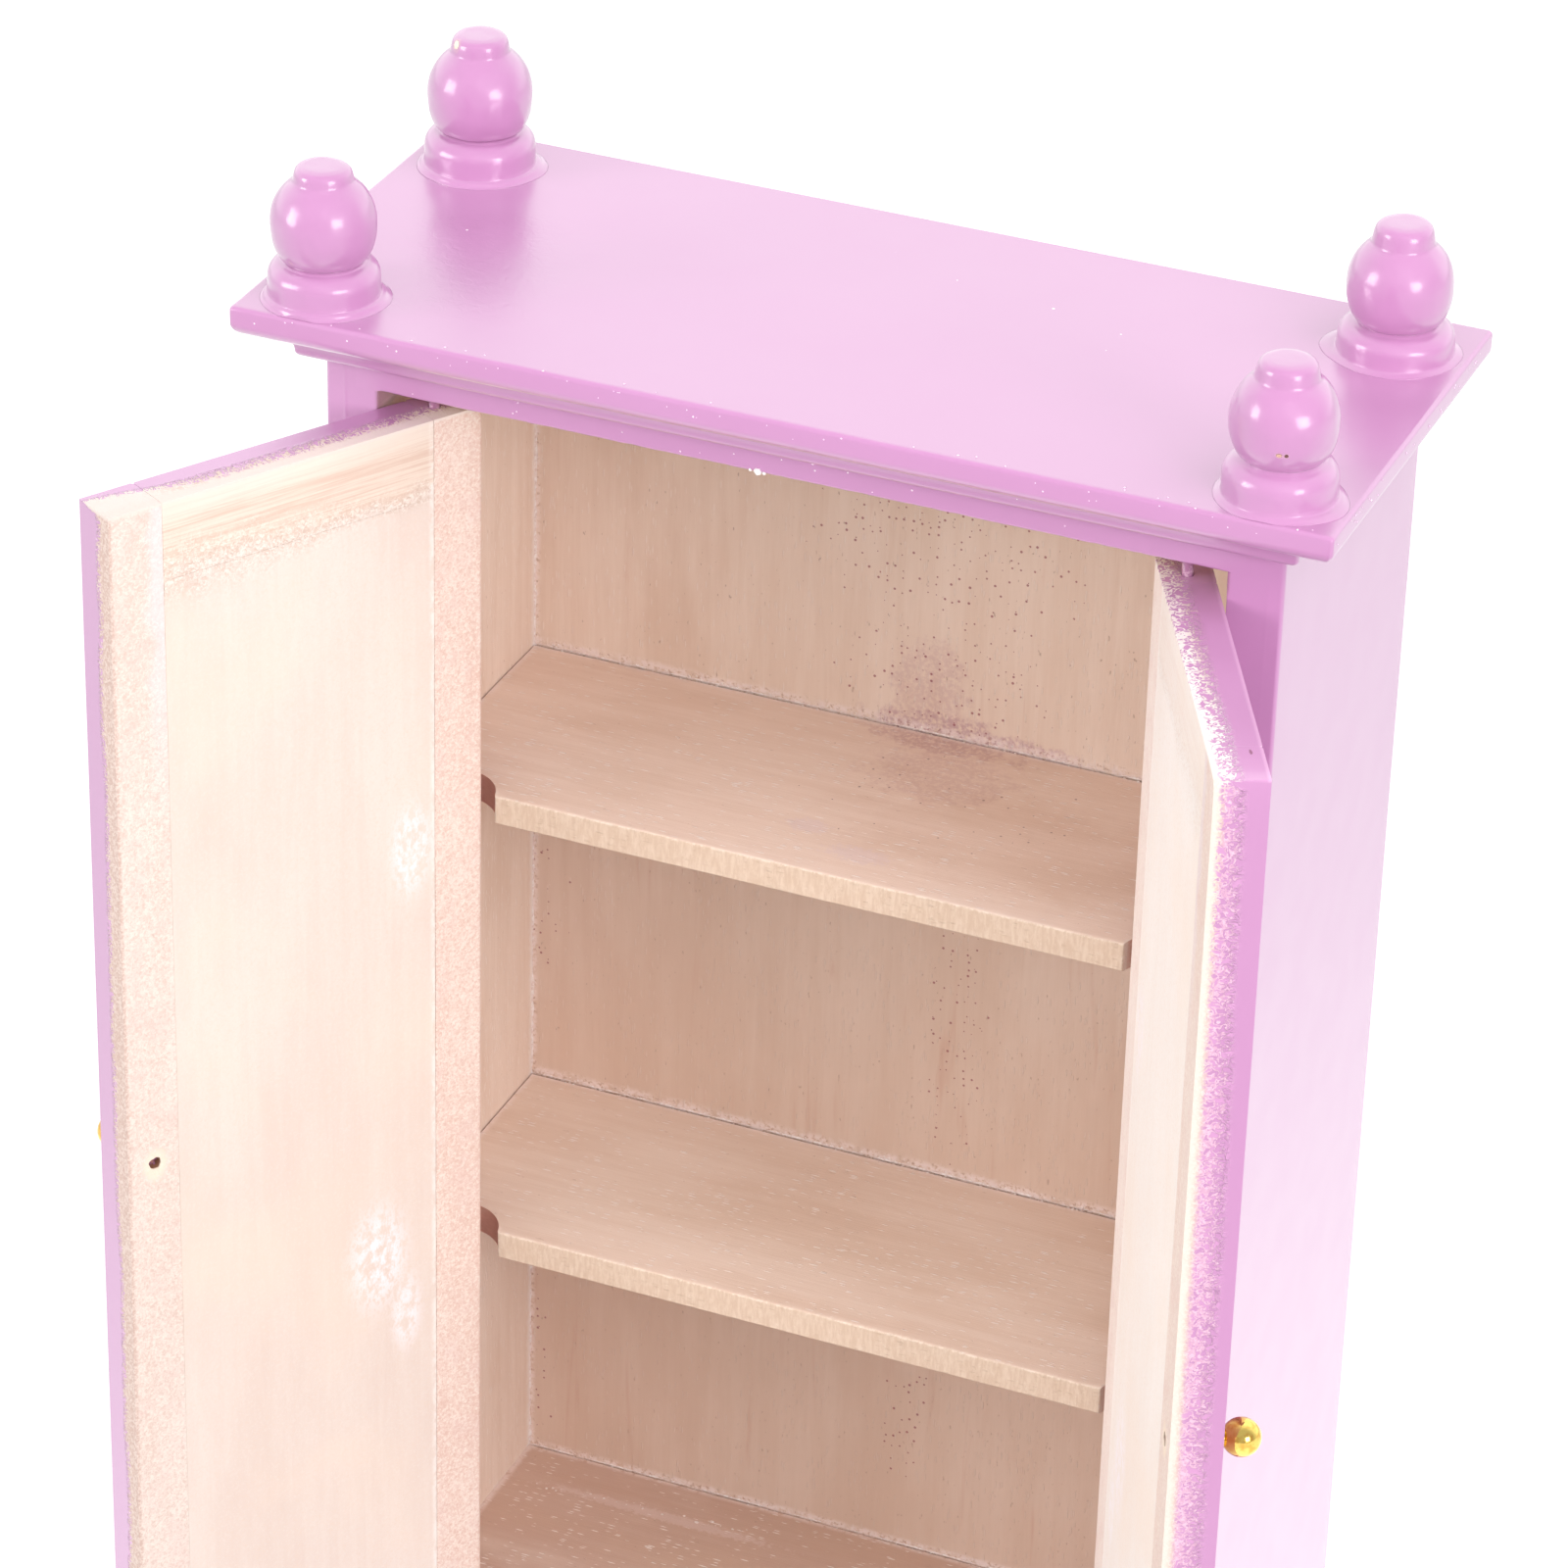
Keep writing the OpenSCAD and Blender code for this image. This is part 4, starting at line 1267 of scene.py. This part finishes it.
def knob_piece(side):
    centre, radius = 1.92, 1.72
    ball = turned_points((14, 18, *range(24, 145, 8), 150),
                         lambda c, s: (radius * s, centre + radius * c))
    first_radius, first_height = ball[0]
    profile = [
        # a small turned flat at the tip, then the ball
        (0.0, 3.642), (first_radius * 0.55, first_height), *ball[1:],
        # collar against the door, and shank
        (0.80, 0.40), (0.78, 0.34), (0.93, 0.28), (0.97, 0.20), (0.97, 0.06), (0.93, 0.0),
        (0.60, 0.0), (0.60, -3.1), (0.52, -3.2), (0.0, -3.2)]
    mesh = lathe(profile, 72)
    # the lathe's +Z points out of the door's outer face
    placing = Matrix(((1, 0, 0, KNOB_X), (0, 0, -1, OUTER_Y), (0, 1, 0, KNOB_Z), (0, 0, 0, 1)))
    bmesh.ops.transform(mesh, matrix=placing, verts=mesh.verts)
    bmesh.ops.recalc_face_normals(mesh, faces=mesh.faces)
    finish_piece(side + "_knob_turned", mesh, side + "_door", BRASS,
                 (side + "_knob",), to_world=door_matrix(side), weighted=False)


# ------------------------------------------------------------ small traces

def glue_bead(name, start, end, wall_a, wall_b, width, seed, gaps, spacing=0.35):
    """A thin uneven bead in the corner of two walls, which point away from the corner."""
    start, end = Vector(start), Vector(end)
    length = (end - start).length
    count = max(4, int(length / spacing))
    direction = (end - start).normalized()
    mesh = bmesh.new()
    rows = []
    for i in range(count + 1):
        along = i / count * length
        rag = jitter(along * 0.22, seed, 0.3) + 0.8 * jitter(along * 0.9, seed, 4.3)
        size = width * max(0.10, 0.75 + 0.75 * rag - gaps)
        if i in (0, count):
            size *= 0.3
        corner = start + direction * along - (wall_a + wall_b) * 0.02
        # section as shares of the size along each wall
        section = [(1, 0), (0.62, 0.30), (0.36, 0.36), (0.30, 0.62), (0, 1)]
        places = [corner] + [corner + (wall_a * a + wall_b * b) * size for a, b in section]
        rows.append([mesh.verts.new(place) for place in places])
    grid_faces(mesh, rows, closed=True)
    mesh.faces.new(rows[0])
    mesh.faces.new(rows[-1])
    bmesh.ops.recalc_face_normals(mesh, faces=mesh.faces)
    finish_piece(name, mesh, "carcase", GLUE, weighted=False)


def crumbs(name, spots, material, seed):
    """Small flattened lumps, each (centre, radius, axis it is flattened on)."""
    mesh = bmesh.new()
    for i, (centre, radius, axis) in enumerate(spots):
        shift = Vector((i * 1.7, seed, 0))
        for vert in bmesh.ops.create_icosphere(mesh, subdivisions=2, radius=radius)["verts"]:
            vert.co *= 1 + 0.45 * noise.noise(vert.co / radius * 1.3 + shift)
            vert.co[axis] *= 0.45
            vert.co += Vector(centre)
    bmesh.ops.recalc_face_normals(mesh, faces=mesh.faces)
    finish_piece(name, mesh, "carcase", material, weighted=False)


def line_spots(start, end, count, spread, radii, axis):
    """Random spots along a line, mostly small."""
    start, end, spread = (np.array(v, float) for v in (start, end, spread))
    smallest, largest = radii
    spots = []
    for _ in range(count):
        centre = start + (end - start) * random.random() + random.random(3) * spread
        radius = smallest + (largest - smallest) * random.random() ** 2.2
        spots.append((tuple(centre), radius, axis))
    return spots


# ------------------------------------------------------------ build

side_piece("left")
side_piece("right")
plain_board("back_panel", "back_board", BACK_MATERIAL,
            depth=0.03, spacings=(2.6, 0, 2.6), edge=0.15, seed=2.0)
plain_board("bottom_board", "bottom_board_bare", SHELF_MATERIALS["bottom_board"],
            depth=0.03, spacings=(2.2, 2.2, 0), edge=0.2, seed=4.0)
top_board_piece()
shelf_piece("upper_shelf", seed=5.0)
shelf_piece("lower_shelf", seed=6.0)
moulded_piece("cornice", flip=False, seed=1.0)
moulded_piece("base", flip=True, seed=2.0)
for i, node in enumerate(FINIALS):
    finial_piece(node, seed=1.0 + 1.3 * i)
for i, side in enumerate(("left", "right")):
    materials = {kind: mat_door(side, kind) for kind in ("hinge", "meet", "rail", "panel")}
    for j, (part, kind) in enumerate(DOOR_PARTS.items()):
        door_piece(side, part, materials[kind], seed=10.0 * (i + 1) + j)
    knob_piece(side)
pin_materials = NODES["hinge_pins"].data.materials
if len(pin_materials):
    for i in range(len(pin_materials)):
        pin_materials[i] = STEEL
else:
    pin_materials.append(STEEL)

# glue squeezed out along the inside joints
X, Y, Z = Vector((1, 0, 0)), Vector((0, 1, 0)), Vector((0, 0, 1))
for name, z in (("upper", UPPER_Z), ("lower", LOWER_Z), ("floor", FLOOR_Z)):
    glue_bead("glue_" + name + "_back", (-IN_X + 0.2, BACK_Y, z + 0.12),
              (IN_X - 0.2, BACK_Y, z + 0.12), -Y, Z, width=0.20, seed=3.0 + z,
              gaps=0.35)
for name, sign in (("left", -1), ("right", 1)):
    glue_bead("glue_corner_" + name, (sign * IN_X, BACK_Y, FLOOR_Z + 0.1),
              (sign * IN_X, BACK_Y, CEIL_Z - 0.1), -sign * X, -Y, width=0.24,
              seed=8.0 + sign, gaps=0.15, spacing=0.6)

random = np.random.default_rng(12)
END_X = IN_X - 0.5
spots = []
for z in (UPPER_Z, LOWER_Z):
    # on the shelf, then on the back board above it
    spots += line_spots((-END_X, BACK_Y - 0.35, z), (END_X, BACK_Y - 0.35, z),
                        count=90, spread=(0, 0.30, 0.02), radii=(0.05, 0.15), axis=2)
    spots += line_spots((-END_X, BACK_Y, z + 0.15), (END_X, BACK_Y, z + 0.15),
                        count=70, spread=(0, 0, 0.40), radii=(0.04, 0.13), axis=1)
# on the bottom board: along the back, and in a slanting line on the left
spots += line_spots((-END_X, BACK_Y - 0.3, FLOOR_Z), (END_X, BACK_Y - 0.3, FLOOR_Z),
                    count=60, spread=(0, 0.25, 0.02), radii=(0.05, 0.14), axis=2)
spots += line_spots((-IN_X + 2.5, 11.6, FLOOR_Z), (-11.0, 13.6, FLOOR_Z),
                    count=26, spread=(0, 0.9, 0), radii=(0.06, 0.22), axis=2)
crumbs("glue_crumbs", spots, GLUE, seed=4.0)

# paint nibs: dust caught in the paint, on the cornice's front edge, the front of its top,
# the frieze and the cornice's right end
between = random.uniform
spots = [((between(COR_LOW.x + 2, COR_HIGH.x - 2), COR_LOW.y + 0.02, TOP_Z - between(0.3, 1.5)),
          between(0.04, 0.09), 1) for _ in range(34)]
spots += [((between(COR_LOW.x + 1, COR_HIGH.x - 1), COR_LOW.y + between(0.2, 1.2), TOP_Z),
           between(0.05, 0.12), 2) for _ in range(26)]
spots += [((between(-38, 38), FRONT_Y, between(CEIL_Z + 0.3, CEIL_Z + 2.0)),
           between(0.05, 0.10), 1) for _ in range(16)]
spots += [((COR_HIGH.x, between(COR_LOW.y + 1, COR_HIGH.y - 1), TOP_Z - between(0.2, 1.5)),
           between(0.05, 0.10), 0) for _ in range(22)]
crumbs("paint_nibs", spots, mat_glue("nib_paint", rgb(252, 236, 248), rgb(244, 206, 236)),
       seed=6.0)

# a drop of filler hanging on the frieze's lower edge
drops = [(-3.2, 0.02, 0.34), (-2.6, -0.02, 0.16), (-3.9, 0.05, 0.14)]    # x, rise, radius
crumbs("frieze_filler_drop",
       [((x, FRONT_Y - 0.02, CEIL_Z + rise), radius, 1) for x, rise, radius in drops],
       mat_glue("filler", rgb(255, 252, 250), rgb(246, 236, 240)), seed=7.0)


# ------------------------------------------------------------ stage (in metres)

def mat_floor():
    """Pale floor that glows evenly to the camera and, near the cabinet, in reflections."""
    start_tree(bpy.data.materials.new("pale_floor"))
    rays = add("LightPath")
    cloud = clouds(add("TexCoord")["Object"], 6, detail=3)
    diffuse = add("BsdfDiffuse", {"Color": mix(cloud, (0.40, 0.40, 0.40, 1), (0.44, 0.44, 0.44, 1))})
    x, y, _ = split(add("TexCoord")["Object"])
    glow = ramp(calc("SQRT", x * x + y * y), 0.04, 0.26, to=(1.05, 0.60))
    strength = rays["Is Camera Ray"] * 0.74 + rays["Is Glossy Ray"] * glow
    emission = add("Emission", {"Color": (1, 1, 1, 1), "Strength": strength})
    add("OutputMaterial", {0: add("AddShader", {0: diffuse, 1: emission})})
    return owner


HALF_FLOOR = 6.0
floor_mesh = bpy.data.meshes.new("floor")
floor_mesh.from_pydata([(x * HALF_FLOOR, y * HALF_FLOOR, 0)
                        for x, y in ((-1, -1), (1, -1), (1, 1), (-1, 1))], [], [(0, 1, 2, 3)])
floor_mesh.materials.append(mat_floor())
floor = bpy.data.objects.new("floor", floor_mesh)
scene.collection.objects.link(floor)
floor.location.z = -0.0002


def build_world():
    """White studio, with its own brightness for the camera, reflections and soft light."""
    scene.world = bpy.data.worlds.new("studio")
    start_tree(scene.world)
    rays = add("LightPath")
    view = add("TexCoord")["Generated"]

    def towards(direction):
        return add("VectorMath", {0: view, 1: direction}, operation="DOT_PRODUCT")["Value"]

    # reflections: bright behind the object and dim on the camera's side
    reflected = ramp(towards((-0.37, 0.88, 0.0)), -0.35, 0.45, to=(0.60, 1.55))
    # a big bank of soft light in front of the object and above it, weaker behind
    soft = ramp(towards((-0.16, -0.86, 0.48)), -0.6, 1.0, to=(0.22, 1.18), smooth=False)
    camera_ray, glossy_ray = rays["Is Camera Ray"], rays["Is Glossy Ray"]
    strength = (reflected * glossy_ray + camera_ray * 1.05
                + (1 - (camera_ray + glossy_ray)) * soft)
    background = add("Background", {"Color": (1, 1, 1, 1), "Strength": strength})
    add("OutputWorld", {0: background})


build_world()

AIM = Vector((0, 0, 0.11))
# name, place from the aim, width of the square, watts, seen in reflections
SOFTBOXES = [
    ("left_softbox", (-0.73, -0.63, 0.27), 0.38, 2.6, True),
    ("right_softbox", (0.81, -0.54, 0.25), 0.38, 2.8, True),
    ("high_fill", (0.45, -0.62, 0.64), 0.6, 2.0, False),
    ("right_top_fill", (0.60, 0.05, 0.62), 0.6, 1.5, False),
    ("rear_fill", (-0.45, 0.95, 0.45), 0.6, 1.5, False),
]
for name, offset, width, watts, reflected in SOFTBOXES:
    light = bpy.data.lights.new(name, "AREA")
    light.shape = "RECTANGLE"
    light.size = light.size_y = width
    light.energy = watts
    light.spread = math.radians(150)
    softbox = bpy.data.objects.new(name, light)
    scene.collection.objects.link(softbox)
    softbox.location = AIM + Vector(offset)
    softbox.rotation_mode = "QUATERNION"
    softbox.rotation_quaternion = (AIM - (AIM + Vector(offset))).to_track_quat("-Z", "Y")
    softbox.visible_camera = False
    softbox.visible_glossy = reflected

# camera: in front, to the right and above; the rows are its right, up and backward axes
CAMERA_AXES = ((0.921058, 0.388634, 0.024794),
               (-0.212249, 0.447607, 0.868676),
               (0.326499, -0.805364, 0.49476))
lens = bpy.data.cameras.new("camera")
lens.lens = 145.529
lens.sensor_width = 36.0
lens.clip_start, lens.clip_end = 0.01, 50
camera = bpy.data.objects.new("camera", lens)
scene.collection.objects.link(camera)
placing = Matrix(CAMERA_AXES).transposed().to_4x4()
placing.translation = Vector((0.180281, -0.459405, 0.385405))
camera.matrix_world = placing
scene.camera = camera

bpy.context.view_layer.update()
